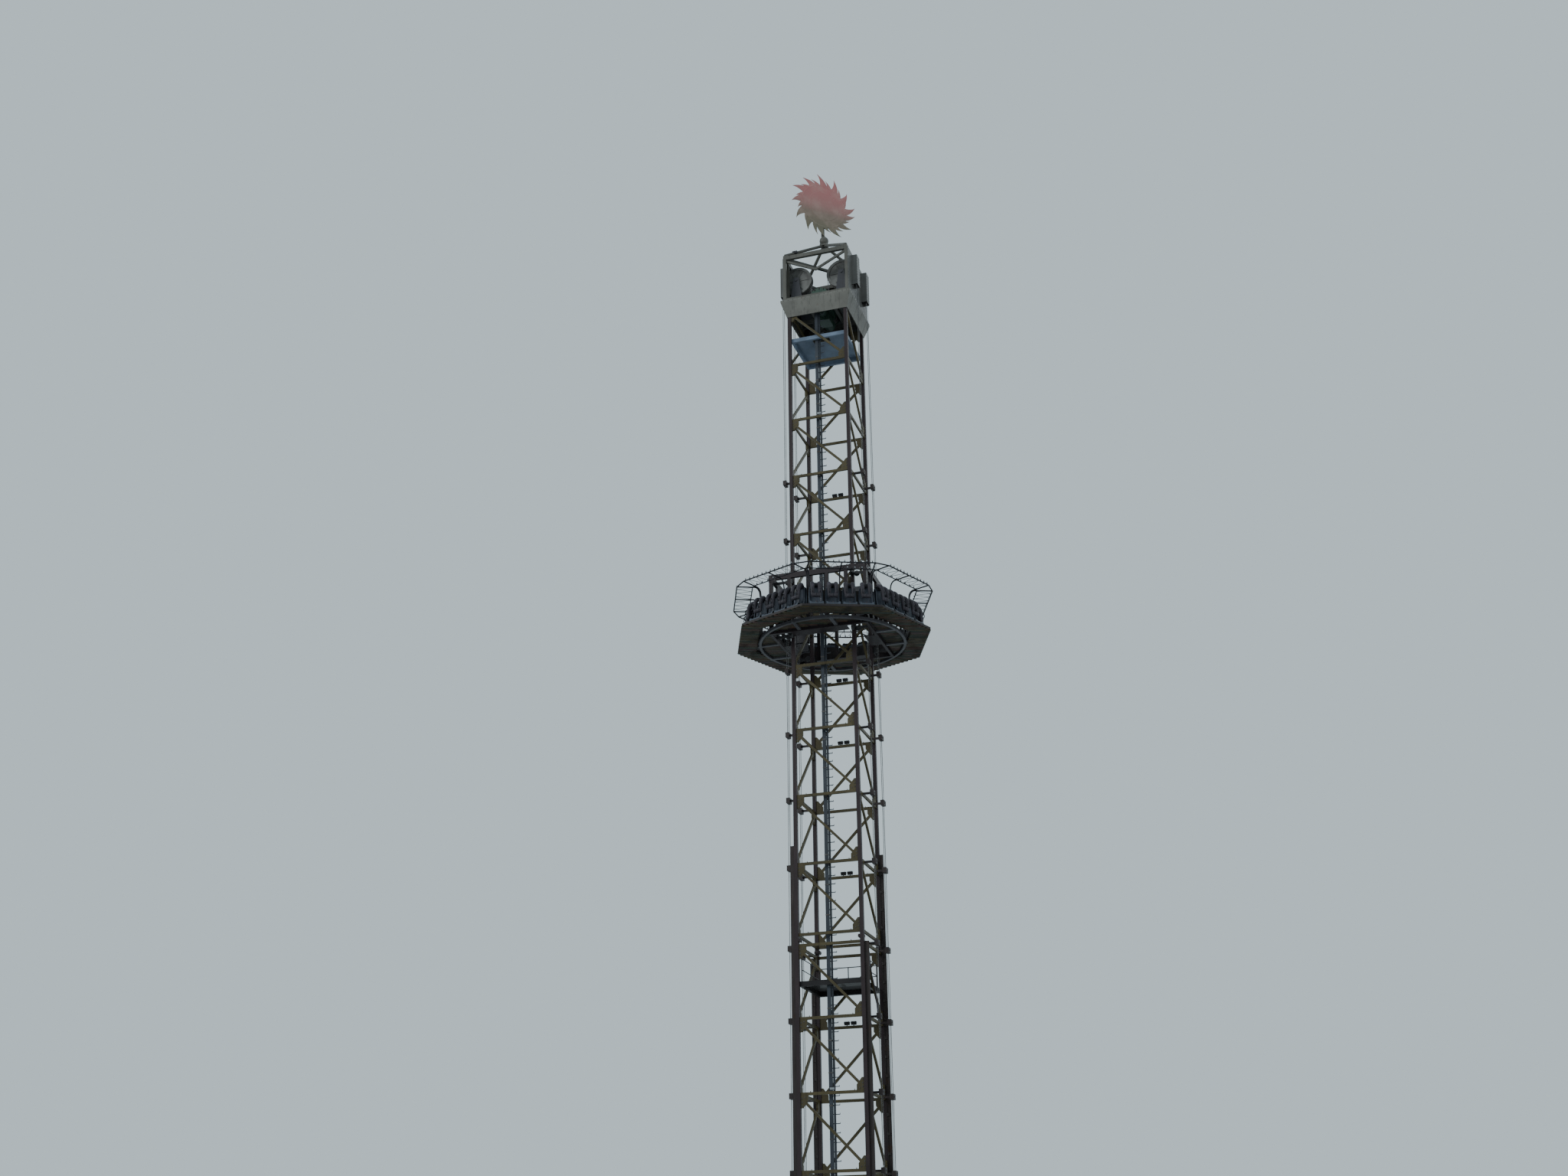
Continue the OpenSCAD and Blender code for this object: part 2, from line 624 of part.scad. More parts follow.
// Frame of the seat ring: inner and outer beams, joists and the rollers on the track
module ring_frame() color("dimgray") {
  union() {
    translate([0, 0, frame_z]) linear_extrude(frame_h) ring_outline(ring_in, ring_in + inner_beam_w);
    translate([0, 0, joist_z]) {
      linear_extrude(frame_z + 1 - joist_z) ring_outline(ring_in + web_in, ring_in + inner_beam_w);
      linear_extrude(outer_beam_h) ring_outline(ring_out - outer_beam_w, ring_out);
      linear_extrude(joist_h) for (i = [0 : 7]) at_side(i) for (n = [-1.5 : 1 : 1.5])
        translate([ring_in + web_in + 8, n * seat_pitch - 20]) square([ring_out - ring_in - web_in - 18, 40]);
    }
    for (i = [0 : 7]) at_side(i) {
      translate([ring_in + 14, 0, track_z + track_t + seat_gap + 22]) rotate([0, 90, 0]) cylinder(h = 14, r = 22, $fn = 32);
      translate([ring_in + 14, 0, track_z + track_t + seat_gap + 22]) rotate([0, 90, 0]) cylinder(h = 30, r = 8, $fn = 32);
      block([ring_in + 32, -16, track_z + track_t + 8], [ring_in + 44, 16, frame_z + 1]);
    }
  }
}

// Ribbed panels under the seats, one a side
module under_panels() color("darkolivegreen")
  for (i = [0 : 7]) at_side(i) {
    inner = ring_in + web_in + 4;
    outer = ring_out - 5;
    gap = 24;
    rib_h = 8;
    union() {
      translate([0, 0, panel_z + rib_h]) linear_extrude(panel_t - rib_h - seat_gap) polygon([
        [inner, -inner * side_tan + gap], [outer, -outer * side_tan + gap],
        [outer, outer * side_tan - gap], [inner, inner * side_tan - gap]]);
      for (v = [inner + 16 : 60 : outer - 36])
        translate([v, -v * side_tan + gap + 4, panel_z]) cube([36, 2 * (v * side_tan - gap - 4), rib_h + 1]);
    }
  }

// Sheet walls behind the seats, standing on the inner beam
module back_walls() color("dimgray")
  for (i = [0 : 7]) at_side(i) {
    near = back_in - wall_t - 1;
    block([near, -near * side_tan + 2, deck_z], [near + wall_t, near * side_tan - 2, seat_top - 60]);
  }

// Side outline of a bucket seat, X outwards, standing on the ring frame
function seat_outline(proud) = let (b = back_in, f = back_in + seat_depth, z = seat_z, top = seat_top) [
  [b + 30, z - seat_low], [f - 40, z - seat_low], [f - 8, z - 60], [f, z - 30], [f - 14, z - 4 + proud],
  [f - 76, z - 14 + proud], [b + 110, z - 16 + proud], [b + 76 + proud, z + 6 + proud], [b + 52 + proud, z + 90],
  [b + 42 + proud, top - 140], [b + 38 + proud * 0.6, top - 30], [b + 34, top], [b + 5, top], [b, top - 40],
  [b + 8, top - 200], [b + 12, z - 30]];

// Four bucket seats in a row on side i
module seats(i) color("cadetblue") at_side(i)
  for (n = [-1.5 : 1 : 1.5]) translate([0, n * seat_pitch, 0]) union() {
    translate([0, seat_w / 2 - 8, 0]) rotate([90, 0, 0]) linear_extrude(seat_w - 16) polygon(seat_outline(0));
    for (s = [-1, 1]) translate([0, s * (seat_w - bolster_w) / 2 + bolster_w / 2, 0]) rotate([90, 0, 0])
      linear_extrude(bolster_w) polygon(seat_outline(bolster_h));
  }

// Side outline of a shoulder restraint, standing on the top of its seat back
function restraint_outline() = let (b = back_in, f = back_in + seat_depth - 78, z = seat_z, top = seat_top) [
  [b + 6, top + seat_gap], [b + 34, top + seat_gap], [b + 42, top + 16], [b + 90, top + 18], [f - 66, top],
  [f - 40, top - 50], [f - 30, top - 140], [f - 34, z + 110], [f - 14, z + 96], [f - 2, z + 120], [f, top - 130],
  [f - 12, top - 30], [f - 46, top + 32], [b + 96, top + 52], [b + 34, top + 48], [b + 10, top + 26]];

// Shoulder restraints over the seats, closed
module restraints() color("black")
  for (i = [0 : 7]) at_side(i) for (n = [-1.5 : 1 : 1.5]) translate([0, n * seat_pitch, 0]) union() {
    for (s = [-1, 1]) translate([0, s * strap_y + strap_w / 2, 0]) rotate([90, 0, 0])
      linear_extrude(strap_w) polygon(restraint_outline());
    block([back_in + seat_depth - 112, -strap_y + 8, seat_z + 100],
          [back_in + seat_depth - 84, strap_y - 8, seat_top - 140]);
  }

// First end of the next side's chord at distance v from the axis
function next_side(v) = [v * cos(45) + canopy_half * sin(45), v * sin(45) - canopy_half * cos(45), canopy_z];

// Canopy rail over the seats: two chords with cross tubes and zigzag bars
module canopy_rail() color("black") {
  inner = canopy_out - canopy_in;
  z = canopy_z;
  h = canopy_half;
  thin_r = tube_r * 0.8;
  union() for (i = [0 : 7]) at_side(i) {
    bar([canopy_out, -h - 6, z], [canopy_out, h + 6, z], tube_r, 8);
    bar([inner, -h - 2, z], [inner, h + 2, z], thin_r, 8);
    for (s = [-1, 0, 1]) bar([canopy_out, s * h, z], [inner - 40, s * h, z], tube_r, 8);
    for (s = [-1, 1]) {
      bar([inner, s * h * 0.06, z], [canopy_out, s * h * 0.34, z], 5, 6);
      bar([canopy_out, s * h * 0.34, z], [inner, s * h * 0.64, z], 5, 6);
      bar([inner, s * h * 0.64, z], [canopy_out, s * h * 0.94, z], 5, 6);
    }
    bar([canopy_out, h, z], next_side(canopy_out), tube_r, 8);
    bar([inner, h, z], next_side(inner), thin_r, 8);
  }
}

// Unit vector at right angles to the way from a to b
function across(a, b) = let (d = b - a) [-d[1], d[0]] / norm(d);

// Outline of a flat band of half width r along a list of points
function band(p, r) = let (
  last = len(p) - 1,
  side = [for (i = [0 : last]) let (
    before = across(p[max(i - 1, 0)], p[max(i, 1)]),
    after = across(p[min(i, last - 1)], p[min(i + 1, last)]),
    mean = before + after) mean * 2 * r / (mean * mean)])
  concat([for (i = [0 : last]) p[i] + side[i]], [for (i = [last : -1 : 0]) p[i] - side[i]]);

// One bent leg in the plane of X and Z, from its top down to the ring frame
module canopy_leg(top, foot) translate([0, tube_r, 0]) rotate([90, 0, 0]) linear_extrude(2 * tube_r)
  polygon(band([[top, canopy_z], [top - 16, canopy_z], [top - 56, canopy_z - 24],
                [top - 88, canopy_z - 84], [foot, canopy_z - 170], [foot, deck_z]], tube_r));

// Bent legs that carry the canopy rail on the inner beam of the ring frame, one a side and a pair at each corner
module canopy_legs() color("black") {
  top = canopy_out - canopy_in - 40;
  pair_x = top * cos(22.5) + canopy_half * sin(22.5) - tube_r * side_tan;
  pair_y = top * sin(22.5) - canopy_half * cos(22.5);
  for (i = [0 : 7]) {
    at_side(i) canopy_leg(top, leg_foot);
    rotate([0, 0, 45 * i]) for (s = [-1, 1]) translate([0, s * pair_y, 0]) canopy_leg(pair_x, leg_foot / cos(22.5));
  }
}

base_frame();
column(0);  // column_front_left
column(1);  // column_front_right
column(2);  // column_back_right
column(3);  // column_back_left
brake_fin(0, fin_top_long);  // brake_fin_front_left
brake_fin(1, fin_top_short);  // brake_fin_front_right
brake_fin(2, fin_top_long);  // brake_fin_back_right
brake_fin(3, fin_top_short);  // brake_fin_back_left
bracing(0);  // bracing_front
bracing(1);  // bracing_right
bracing(2);  // bracing_back
bracing(3);  // bracing_left
ladder();
cable_duct();
landing_floor();
landing_rails();
floodlights();
rope_guides();
hoist_ropes();
drum_ropes();
crown_frame();
crown_braces();
crown_legs();
crown_skirt();
crown_panels();
sheave_guards();
head_floor();
winch();
sheave_mounts();
finial_mast();
sun();
sheave(-1, -1);  // sheave_front_left
sheave(1, -1);  // sheave_front_right
sheave(1, 1);  // sheave_back_right
sheave(-1, 1);  // sheave_back_left
carriage_side(0);  // carriage_front
carriage_side(1);  // carriage_right
carriage_side(2);  // carriage_back
carriage_side(3);  // carriage_left
guide_rollers();
brake_magnets();
slew_track();
carriage_floor();
ring_frame();
under_panels();
back_walls();
seats(0);  // seats_1
seats(1);  // seats_2
seats(2);  // seats_3
seats(3);  // seats_4
seats(4);  // seats_5
seats(5);  // seats_6
seats(6);  // seats_7
seats(7);  // seats_8
restraints();
canopy_rail();
canopy_legs();
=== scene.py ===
"""Looks of the drop tower ride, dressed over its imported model: metres, Z up, front along -Y."""
import json
import math

import bpy
import numpy as np
from mathutils import Matrix, Vector


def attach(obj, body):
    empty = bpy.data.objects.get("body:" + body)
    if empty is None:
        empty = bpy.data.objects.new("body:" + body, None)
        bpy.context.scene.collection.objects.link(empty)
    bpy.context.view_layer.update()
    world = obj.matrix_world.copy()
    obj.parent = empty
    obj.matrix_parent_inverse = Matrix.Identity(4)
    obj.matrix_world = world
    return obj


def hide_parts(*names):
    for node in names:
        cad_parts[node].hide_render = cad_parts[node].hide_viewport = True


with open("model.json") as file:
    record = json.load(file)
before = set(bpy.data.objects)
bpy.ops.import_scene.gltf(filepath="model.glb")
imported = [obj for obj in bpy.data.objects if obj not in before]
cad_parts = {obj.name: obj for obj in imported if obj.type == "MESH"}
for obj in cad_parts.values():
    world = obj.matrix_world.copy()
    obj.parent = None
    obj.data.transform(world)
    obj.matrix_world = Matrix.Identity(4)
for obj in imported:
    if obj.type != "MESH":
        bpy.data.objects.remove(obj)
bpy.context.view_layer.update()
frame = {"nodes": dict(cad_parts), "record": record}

# Tower, as its model has it: middle of a column, sizes of columns and bars, heights of the level bars
HALF = 0.550
COLUMN = 0.064
BAR_T = 0.034
BAR_H = 0.046
BASE_H = 0.500
PANEL_H = 1.165
JOINT_GAP = 0.175
PANELS = 5
SECTIONS = 3
SECTION_FEET = [BASE_H + n * (PANELS * PANEL_H + JOINT_GAP) for n in range(SECTIONS)]
LEVELS = [foot + k * PANEL_H for foot in SECTION_FEET for k in range(PANELS + 1)]

# Ground plates: middle of an outer pad, thickness, and top of the ground beams
PAD_AT = 1.160
PLATE_T = 0.024
BEAM_TOP = 0.200

# Brake fins: the top of each, by the side of its column in X and Y, and the bolts' place on their brackets
FINS = ((-1, -1, 7.990), (1, -1, 6.325), (1, 1, 7.990), (-1, 1, 6.325))
FIN_LOW = 0.600
FIN_PITCH = 0.300
BRACKET_X = 0.5915
BRACKET_Y = 0.506

# Ladder and cable duct
LADDER_Y = -0.440
PEG_PITCH = 0.140
PEG_REACH = 0.085
POLE_HALF = 0.015
DUCT_FAR, DUCT_NEAR = -0.0825, -0.018
DUCT_FRONT = -0.479

# Head: sheet walls, skirt and rope guards, sheaves and winch, sun
CROWN_Z = 18.520
CROWN_HALF = 0.640
CROWN_TOP = 19.550
PANEL_T = 0.008
SKIRT_LIP = CROWN_HALF + 0.047
SKIRT_FOOT_Z = CROWN_Z - 0.318
GUARD_OUT = 0.767
ROPE_AT = 0.285
ROPE_SIDE = 0.042
GUIDE_OUT = 0.7665
SHEAVE_X, SHEAVE_Y, SHEAVE_Z = 0.450, 0.330, 19.110
SHEAVE_FACE = 0.0635
SHEAVES = (("front_left", -1, -1), ("front_right", 1, -1), ("back_right", 1, 1), ("back_left", -1, 1))
DRUM_Z = 18.660
DRUM_R = 0.1597
DRUM_END = 0.422
MOTOR_Z = 18.430
SUN_Z = 20.989
SUN_R = 0.765
SUN_DISC = 0.490

# Carriage and seat ring at rest
CARRIAGE_Z = 11.680
CARRIAGE_TOP = 12.800
CARRIAGE_HALF = 0.885
SEAT_Z = 11.850
BACK_IN = 1.335
SEAT_PITCH = 0.284
SEAT_W = 0.244
RING_IN, RING_OUT = 1.262, 1.640
PANEL_Z = 11.740
PLANK_PITCH = 0.068
PLANK_T = 0.0176
FLOOR_REACH = 1.246
FLOOR_Z = CARRIAGE_Z + 0.0405
FLOOR_T = 0.0095

# Canopy over the seats; SIDE turns the first of the eight sides from the X axis
SIDE = math.pi / 8
CANOPY_Z = 12.530
CANOPY_OUT = 1.722
CANOPY_IN = CANOPY_OUT - 0.275
CANOPY_U = CANOPY_OUT * math.tan(SIDE) - 0.148
TUBE_R = 0.012
INNER_R = TUBE_R * 0.8
LEG_FOOT = RING_IN + 0.040
LEG_FOOT_Z = 11.850

QUARTERS = [q * math.pi / 2 for q in range(4)]
RIGHT_AND_LEFT = (QUARTERS[1], QUARTERS[3])
EIGHTHS = [SIDE + i * math.pi / 4 for i in range(8)]
CORNERS = [i * math.pi / 4 for i in range(8)]


class Shade:
    """An output socket that takes part in expressions: arithmetic on it adds Math nodes to its coat."""

    def __init__(self, coat, socket):
        self.coat, self.socket = coat, socket

    def math(self, operation, *values):
        """A Math node on these values."""
        return self.coat.node("ShaderNodeMath", {"operation": operation}, dict(enumerate(values)))

    def __add__(self, other):
        return self.math("ADD", self, other)

    def __mul__(self, other):
        return self.math("MULTIPLY", self, other)

    def __sub__(self, other):
        return self.math("SUBTRACT", self, other)

    def __rsub__(self, other):
        return self.math("SUBTRACT", other, self)

    def __truediv__(self, other):
        return self.math("DIVIDE", self, other)

    def __rtruediv__(self, other):
        return self.math("DIVIDE", other, self)

    def __abs__(self):
        return self.math("ABSOLUTE", self)

    __radd__ = __add__
    __rmul__ = __mul__

    def span(self, low, high, to_low=0.0, to_high=1.0):
        """This value carried from low..high to to_low..to_high, and held at the ends."""
        limits = {"Value": self, "From Min": low, "From Max": high, "To Min": to_low, "To Max": to_high}
        return self.coat.node("ShaderNodeMapRange", {"interpolation_type": "SMOOTHSTEP"}, limits)


class Coat:
    """One finish: a Principled shader with the nodes that feed it."""

    def __init__(self, name, **fixed):
        self.material = bpy.data.materials.new(name)
        self.material.use_nodes = True
        self.tree = self.material.node_tree
        self.tree.nodes.clear()
        self.shader = self.tree.nodes.new("ShaderNodeBsdfPrincipled")
        output = self.tree.nodes.new("ShaderNodeOutputMaterial")
        self.tree.links.new(self.shader.outputs[0], output.inputs[0])
        self.shader.inputs["Specular IOR Level"].default_value = 0.22
        self.place = self.node("ShaderNodeTexCoord", {}, {}, "Object")
        self.set(**fixed)

    def node(self, kind, settings, inputs, output=0):
        """A node of this kind, with its settings made first and then the values or links of its sockets."""
        made = self.tree.nodes.new(kind)
        stops = settings.get("stops")
        for key, value in settings.items():
            if key != "stops":
                setattr(made, key, value)
        if stops:
            ramp = made.color_ramp.elements
            while len(ramp) < len(stops):
                ramp.new(0.5)
            for element, (position, colour) in zip(ramp, stops):
                element.position, element.color = position, (*colour, 1)
        for key, value in inputs.items():
            if isinstance(value, Shade):
                self.tree.links.new(value.socket, made.inputs[key])
            else:
                made.inputs[key].default_value = value
        return Shade(self, made.outputs[output])

    def set(self, **sockets):
        """Feeds the shader: base_color=..., roughness=..., each a number, a colour or a Shade."""
        for key, value in sockets.items():
            socket = self.shader.inputs[key.replace("_", " ").title()]
            if isinstance(value, Shade):
                self.tree.links.new(value.socket, socket)
            else:
                socket.default_value = (*value, 1) if isinstance(value, tuple) else value
        return self

    def stretched(self, scale, turn=(0, 0, 0)):
        """The piece's coordinates, turned and scaled."""
        return self.node("ShaderNodeMapping", {}, {"Vector": self.place, "Rotation": turn, "Scale": scale})

    def noise(self, scale, detail=3.0, place=None):
        """Cloudy values round a half."""
        inputs = {"Vector": place or self.place, "Scale": scale, "Detail": detail, "Roughness": 0.55}
        return self.node("ShaderNodeTexNoise", {}, inputs, "Fac")

    def cells(self, scale):
        """Distance to the nearest of scattered points."""
        inputs = {"Vector": self.place, "Scale": scale}
        return self.node("ShaderNodeTexVoronoi", {"feature": "F1"}, inputs, "Distance")

    def axis(self, name):
        """One of the piece's coordinates."""
        return self.node("ShaderNodeSeparateXYZ", {}, {0: self.place}, name)

    def mix(self, factor, a, b):
        """Colour a where factor is 0 and colour b where it is 1."""
        colour = [v if isinstance(v, Shade) else (*v, 1) for v in (a, b)]
        return self.node("ShaderNodeMix", {"data_type": "RGBA"}, {0: factor, 6: colour[0], 7: colour[1]}, 2)

    def ramp(self, factor, *stops):
        """Colour between stops of (position, colour)."""
        return self.node("ShaderNodeValToRGB", {"stops": stops}, {"Fac": factor})

    def bump(self, height, strength, distance=0.002):
        """Relief of the surface by a height."""
        inputs = {"Height": height, "Strength": strength, "Distance": distance}
        return self.set(normal=self.node("ShaderNodeBump", {}, inputs))


def tint(colour, factor):
    """The colour made darker or lighter."""
    return tuple(min(1.0, c * factor) for c in colour)


def painted(name, colour, roughness=0.42, grime=0.5, rust=0.25, coat=0.04):
    """Weathered paint on steel: cloudy fading, streaks of rain dirt, rust blooms and a fine orange peel."""
    c = Coat(name, coat_weight=coat)
    cloud = c.noise(1.7, 4)
    streak = c.noise(1.0, 3, c.stretched((26, 26, 0.9)))
    speck = c.noise(38, 4)
    faded = c.mix(cloud.span(0.35, 0.7), tint(colour, 0.82), tint(colour, 1.22))
    dirty = c.mix(streak.span(0.52, 0.74) * grime, faded, tint(colour, 0.45))
    bloom = (c.noise(5.5, 6).span(0.60, 0.70) * speck.span(0.42, 0.6)) * rust
    c.set(base_color=c.mix(bloom, dirty, (0.085, 0.036, 0.020)))
    c.set(roughness=(speck.span(0.3, 0.7, roughness - 0.06, roughness + 0.12) + bloom * 0.35))
    c.bump(c.noise(210, 2) * 0.4 + speck * 0.6 + bloom * 1.5, 0.12, 0.0012)
    return c.material


def bare_steel(name, colour, roughness=0.34, streaks=(150, 150, 3)):
    """Brushed steel: fine lines along one way, with smears and a little rust."""
    c = Coat(name, metallic=0.65)
    line = c.noise(1.0, 2, c.stretched(streaks))
    smear = c.noise(3.2, 4)
    shade = c.mix(line.span(0.3, 0.7), tint(colour, 0.75), tint(colour, 1.3))
    stained = c.mix(smear.span(0.58, 0.75) * 0.6, shade, (0.06, 0.034, 0.022))
    c.set(base_color=stained, roughness=smear.span(0.3, 0.75, roughness, roughness + 0.25))
    c.bump(line, 0.12, 0.001)
    return c.material


def chequer_plate(name, colour):
    """Floor plate with raised lozenges on its level faces, worn bright on their tops: near black below 8 m,
    on the landing, and blue above 15 m, on the floor of the head."""
    c = Coat(name, coat_weight=0.15)
    size = 0.030
    x, y = c.axis("X") / size, c.axis("Y") / size
    across, along = (x + y) * 0.7071, (x - y) * 0.7071
    cell_a = abs(across.math("FRACT", across) - 0.5)
    cell_b = abs(along.math("FRACT", along) - 0.5)
    normal = c.node("ShaderNodeTexCoord", {}, {}, "Normal")
    level = abs(c.node("ShaderNodeSeparateXYZ", {}, {0: normal}, "Z")).span(0.5, 0.9)
    lozenge = (cell_a * 1.1 + cell_b * 3.6).span(0.38, 0.52, 1.0, 0.0) * level
    worn = lozenge * c.noise(4, 4).span(0.45, 0.65)
    paint = c.mix(c.axis("Z").span(8, 15), (0.008, 0.007, 0.008), colour)
    base = c.mix(c.noise(2.2, 4).span(0.35, 0.7) * 0.4, paint, (0.020, 0.018, 0.018))
    c.set(base_color=c.mix(worn * 0.4, base, (0.10, 0.105, 0.11)), roughness=worn.span(0, 1, 0.55, 0.36))
    c.bump(lozenge + c.noise(160, 2) * 0.2, 0.5, 0.0025)
    return c.material


def stranded_rope(name):
    """Steel rope: six strands wind round each fall, by the sine of angle and height, with greased spots."""
    c = Coat(name, metallic=0.85)
    x = abs(abs(c.axis("X")) - SHEAVE_X) - ROPE_AT
    y = abs(abs(c.axis("Y")) - SHEAVE_Y) - ROPE_SIDE
    turn = x.math("ARCTAN2", y, x)
    wave = turn * 6.0 + c.axis("Z") * 620.0
    strand = wave.math("SINE", wave) * 0.5 + 0.5
    grease = c.noise(7, 4).span(0.4, 0.7)
    # painted shade: the steel is darker in the grooves between strands, where the relief is low, and lighter
    # on their crowns
    steel = c.mix(strand, (0.06, 0.06, 0.06), (0.26, 0.26, 0.26))
    c.set(base_color=c.mix(grease * 0.6, steel, (0.05, 0.045, 0.04)), roughness=grease.span(0, 1, 0.32, 0.6))
    c.bump(strand, 0.8, 0.0015)
    return c.material


def cast_iron(name, colour):
    """Sand-cast surface with a grain, smeared with old grease."""
    c = Coat(name, metallic=0.35)
    grain = c.noise(120, 5)
    smear = c.noise(4, 4).span(0.4, 0.7)
    cloudy = c.mix(smear, tint(colour, 0.7), tint(colour, 1.5))
    c.set(base_color=cloudy, roughness=grain.span(0.3, 0.7, 0.42, 0.66))
    c.bump(grain + c.cells(60) * 0.3, 0.35)
    return c.material


def moulded(name, colour, roughness=0.45):
    """Moulded glass fibre shell: gel coat with a soft mottle, scuffs and a fine grain."""
    c = Coat(name, coat_weight=0.12)
    mottle = c.noise(6, 4)
    scuff = c.noise(1.0, 4, c.stretched((34, 34, 9))).span(0.60, 0.72)
    base = c.mix(mottle.span(0.35, 0.68), tint(colour, 0.85), tint(colour, 1.18))
    scuffed = c.mix(scuff * 0.35, base, tint(colour, 1.9))
    c.set(base_color=scuffed, roughness=scuff.span(0, 1, roughness, 0.62))
    c.bump(c.noise(260, 2), 0.12, 0.001)
    return c.material


def foam_rubber(name, colour):
    """Moulded rubber skin over foam: matt, pebbled and dusty."""
    c = Coat(name)
    dust = c.noise(9, 5).span(0.48, 0.72)
    dusty = c.mix(dust * 0.5, colour, tint(colour, 3.0))
    c.set(base_color=dusty, roughness=dust.span(0, 1, 0.52, 0.8))
    c.bump(c.cells(420), 0.35, 0.001)
    return c.material


def slatted(name):
    """Parallel boards: each, counted across the way they lie, has its own faded tint, with cloudy stains."""
    c = Coat(name)
    across = c.axis("Y") * math.cos(SIDE) - c.axis("X") * math.sin(SIDE)
    board = across / PLANK_PITCH
    number = board.math("FLOOR", board)
    pick = c.node("ShaderNodeTexWhiteNoise", {"noise_dimensions": "1D"}, {"W": number}, "Value")
    stain = c.noise(1.0, 4, c.stretched((3.5, 11, 11), (0, 0, -SIDE)))
    wood = c.ramp(pick * 0.75 + stain.span(0.3, 0.7) * 0.25,
                  (0.0, (0.010, 0.009, 0.009)), (0.30, (0.050, 0.040, 0.018)), (0.50, (0.013, 0.027, 0.020)),
                  (0.72, (0.058, 0.029, 0.017)), (1.0, (0.022, 0.017, 0.028)))
    grime = c.noise(5, 5).span(0.42, 0.7)
    c.set(base_color=c.mix(grime * 0.5, wood, (0.014, 0.013, 0.012)), roughness=grime.span(0, 1, 0.5, 0.75))
    c.bump(c.noise(150, 3) * 0.5 + stain, 0.25)
    return c.material


def sun_enamel(name):
    """Enamel chalked by weather, its colour by height: darker amber grey at the sun's foot, red at its top.
    """
    c = Coat(name, coat_weight=0.15)
    rise = c.axis("Z").span(20.35, 21.45)
    tone = c.ramp(rise, (0.0, (0.145, 0.132, 0.090)), (0.35, (0.205, 0.152, 0.120)),
                  (0.62, (0.315, 0.160, 0.145)), (1.0, (0.380, 0.150, 0.145)))
    chalk = c.noise(3.4, 5).span(0.45, 0.72)
    c.set(base_color=c.mix(chalk * 0.35, tone, (0.42, 0.30, 0.26)), roughness=chalk.span(0, 1, 0.3, 0.5))
    c.bump(c.noise(90, 3), 0.1)
    return c.material


def lamp_glass(name):
    """Ribbed glass of a lamp, not lit: painted highlight on the ribs' crests, painted shade between them."""
    c = Coat(name, coat_weight=0.6)
    wave = c.axis("X") * 420.0
    rib = wave.math("SINE", wave) * 0.5 + 0.5
    # painted highlight and shade: the glass is lighter on each rib's crest and darker in the troughs between
    # ribs
    c.set(base_color=c.mix(rib, (0.16, 0.18, 0.19), (0.36, 0.39, 0.41)), roughness=rib.span(0, 1, 0.12, 0.25))
    c.bump(rib, 0.3, 0.001)
    return c.material


COATS = {
    "base_paint": painted("base_paint", (0.050, 0.042, 0.038), 0.5, 0.6, 0.5),
    "column_paint": painted("column_paint", (0.026, 0.017, 0.019), 0.45, 0.45, 0.2),
    "bracing_paint": painted("bracing_paint", (0.060, 0.049, 0.022), 0.48, 0.55, 0.3),
    "fin_metal": bare_steel("fin_metal", (0.040, 0.034, 0.033), 0.42),
    "ladder_steel": painted("ladder_steel", (0.032, 0.039, 0.049), 0.46, 0.4, 0.3),
    "floor_blue": chequer_plate("floor_blue", (0.140, 0.190, 0.265)),
    "rail_paint": painted("rail_paint", (0.045, 0.040, 0.040), 0.42, 0.4, 0.3),
    "lamp_housing": painted("lamp_housing", (0.028, 0.028, 0.032), 0.5, 0.3, 0.1),
    "guide_paint": painted("guide_paint", (0.036, 0.028, 0.027), 0.45, 0.5, 0.3),
    "rope_steel": stranded_rope("rope_steel"),
    "head_paint": painted("head_paint", (0.090, 0.089, 0.078), 0.45, 0.5, 0.25),
    "skirt_paint": painted("skirt_paint", (0.122, 0.121, 0.108), 0.42, 0.5, 0.2),
    "panel_paint": painted("panel_paint", (0.112, 0.113, 0.108), 0.45, 0.5, 0.2),
    "winch_green": painted("winch_green", (0.036, 0.066, 0.050), 0.36, 0.45, 0.15, 0.15),
    "machine_grey": painted("machine_grey", (0.060, 0.060, 0.068), 0.42, 0.4, 0.2),
    "sun_paint": sun_enamel("sun_paint"),
    "sheave_iron": cast_iron("sheave_iron", (0.105, 0.105, 0.100)),
    "carriage_paint": painted("carriage_paint", (0.019, 0.014, 0.016), 0.45, 0.35, 0.2),
    "roller_grey": foam_rubber("roller_grey", (0.030, 0.030, 0.032)),
    "ring_paint": painted("ring_paint", (0.024, 0.020, 0.020), 0.45, 0.4, 0.25),
    "under_paint": slatted("under_paint"),
    "seat_shell": moulded("seat_shell", (0.050, 0.060, 0.078)),
    "restraint_black": foam_rubber("restraint_black", (0.034, 0.031, 0.038)),
    "rail_black": painted("rail_black", (0.014, 0.014, 0.018), 0.42, 0.2, 0.1),
}
BOLT_STEEL = bare_steel("bolt_steel", (0.075, 0.072, 0.070), 0.4, (30, 30, 30))
GLASS = lamp_glass("lamp_glass")

for part in frame["record"]["subparts"]:
    node = frame["nodes"][part["node"]]
    node.data.materials.clear()
    node.data.materials.append(COATS[part["material_slot"]])


def add_piece(name, body, slot, shape, coat=None, smooth=False, replaces=()):
    """A mesh of the shape's points and faces, riding on a body of the model."""
    points, faces = shape
    mesh = bpy.data.meshes.new(name)
    mesh.from_pydata(np.asarray(points).tolist(), [], [tuple(int(i) for i in f) for f in faces])
    mesh.update()
    if smooth:
        mesh.shade_smooth()
    piece = bpy.data.objects.new(name, mesh)
    bpy.context.scene.collection.objects.link(piece)
    mesh.materials.append(coat or COATS[slot])
    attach(piece, body)
    if replaces:
        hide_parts(*replaces)
    return piece


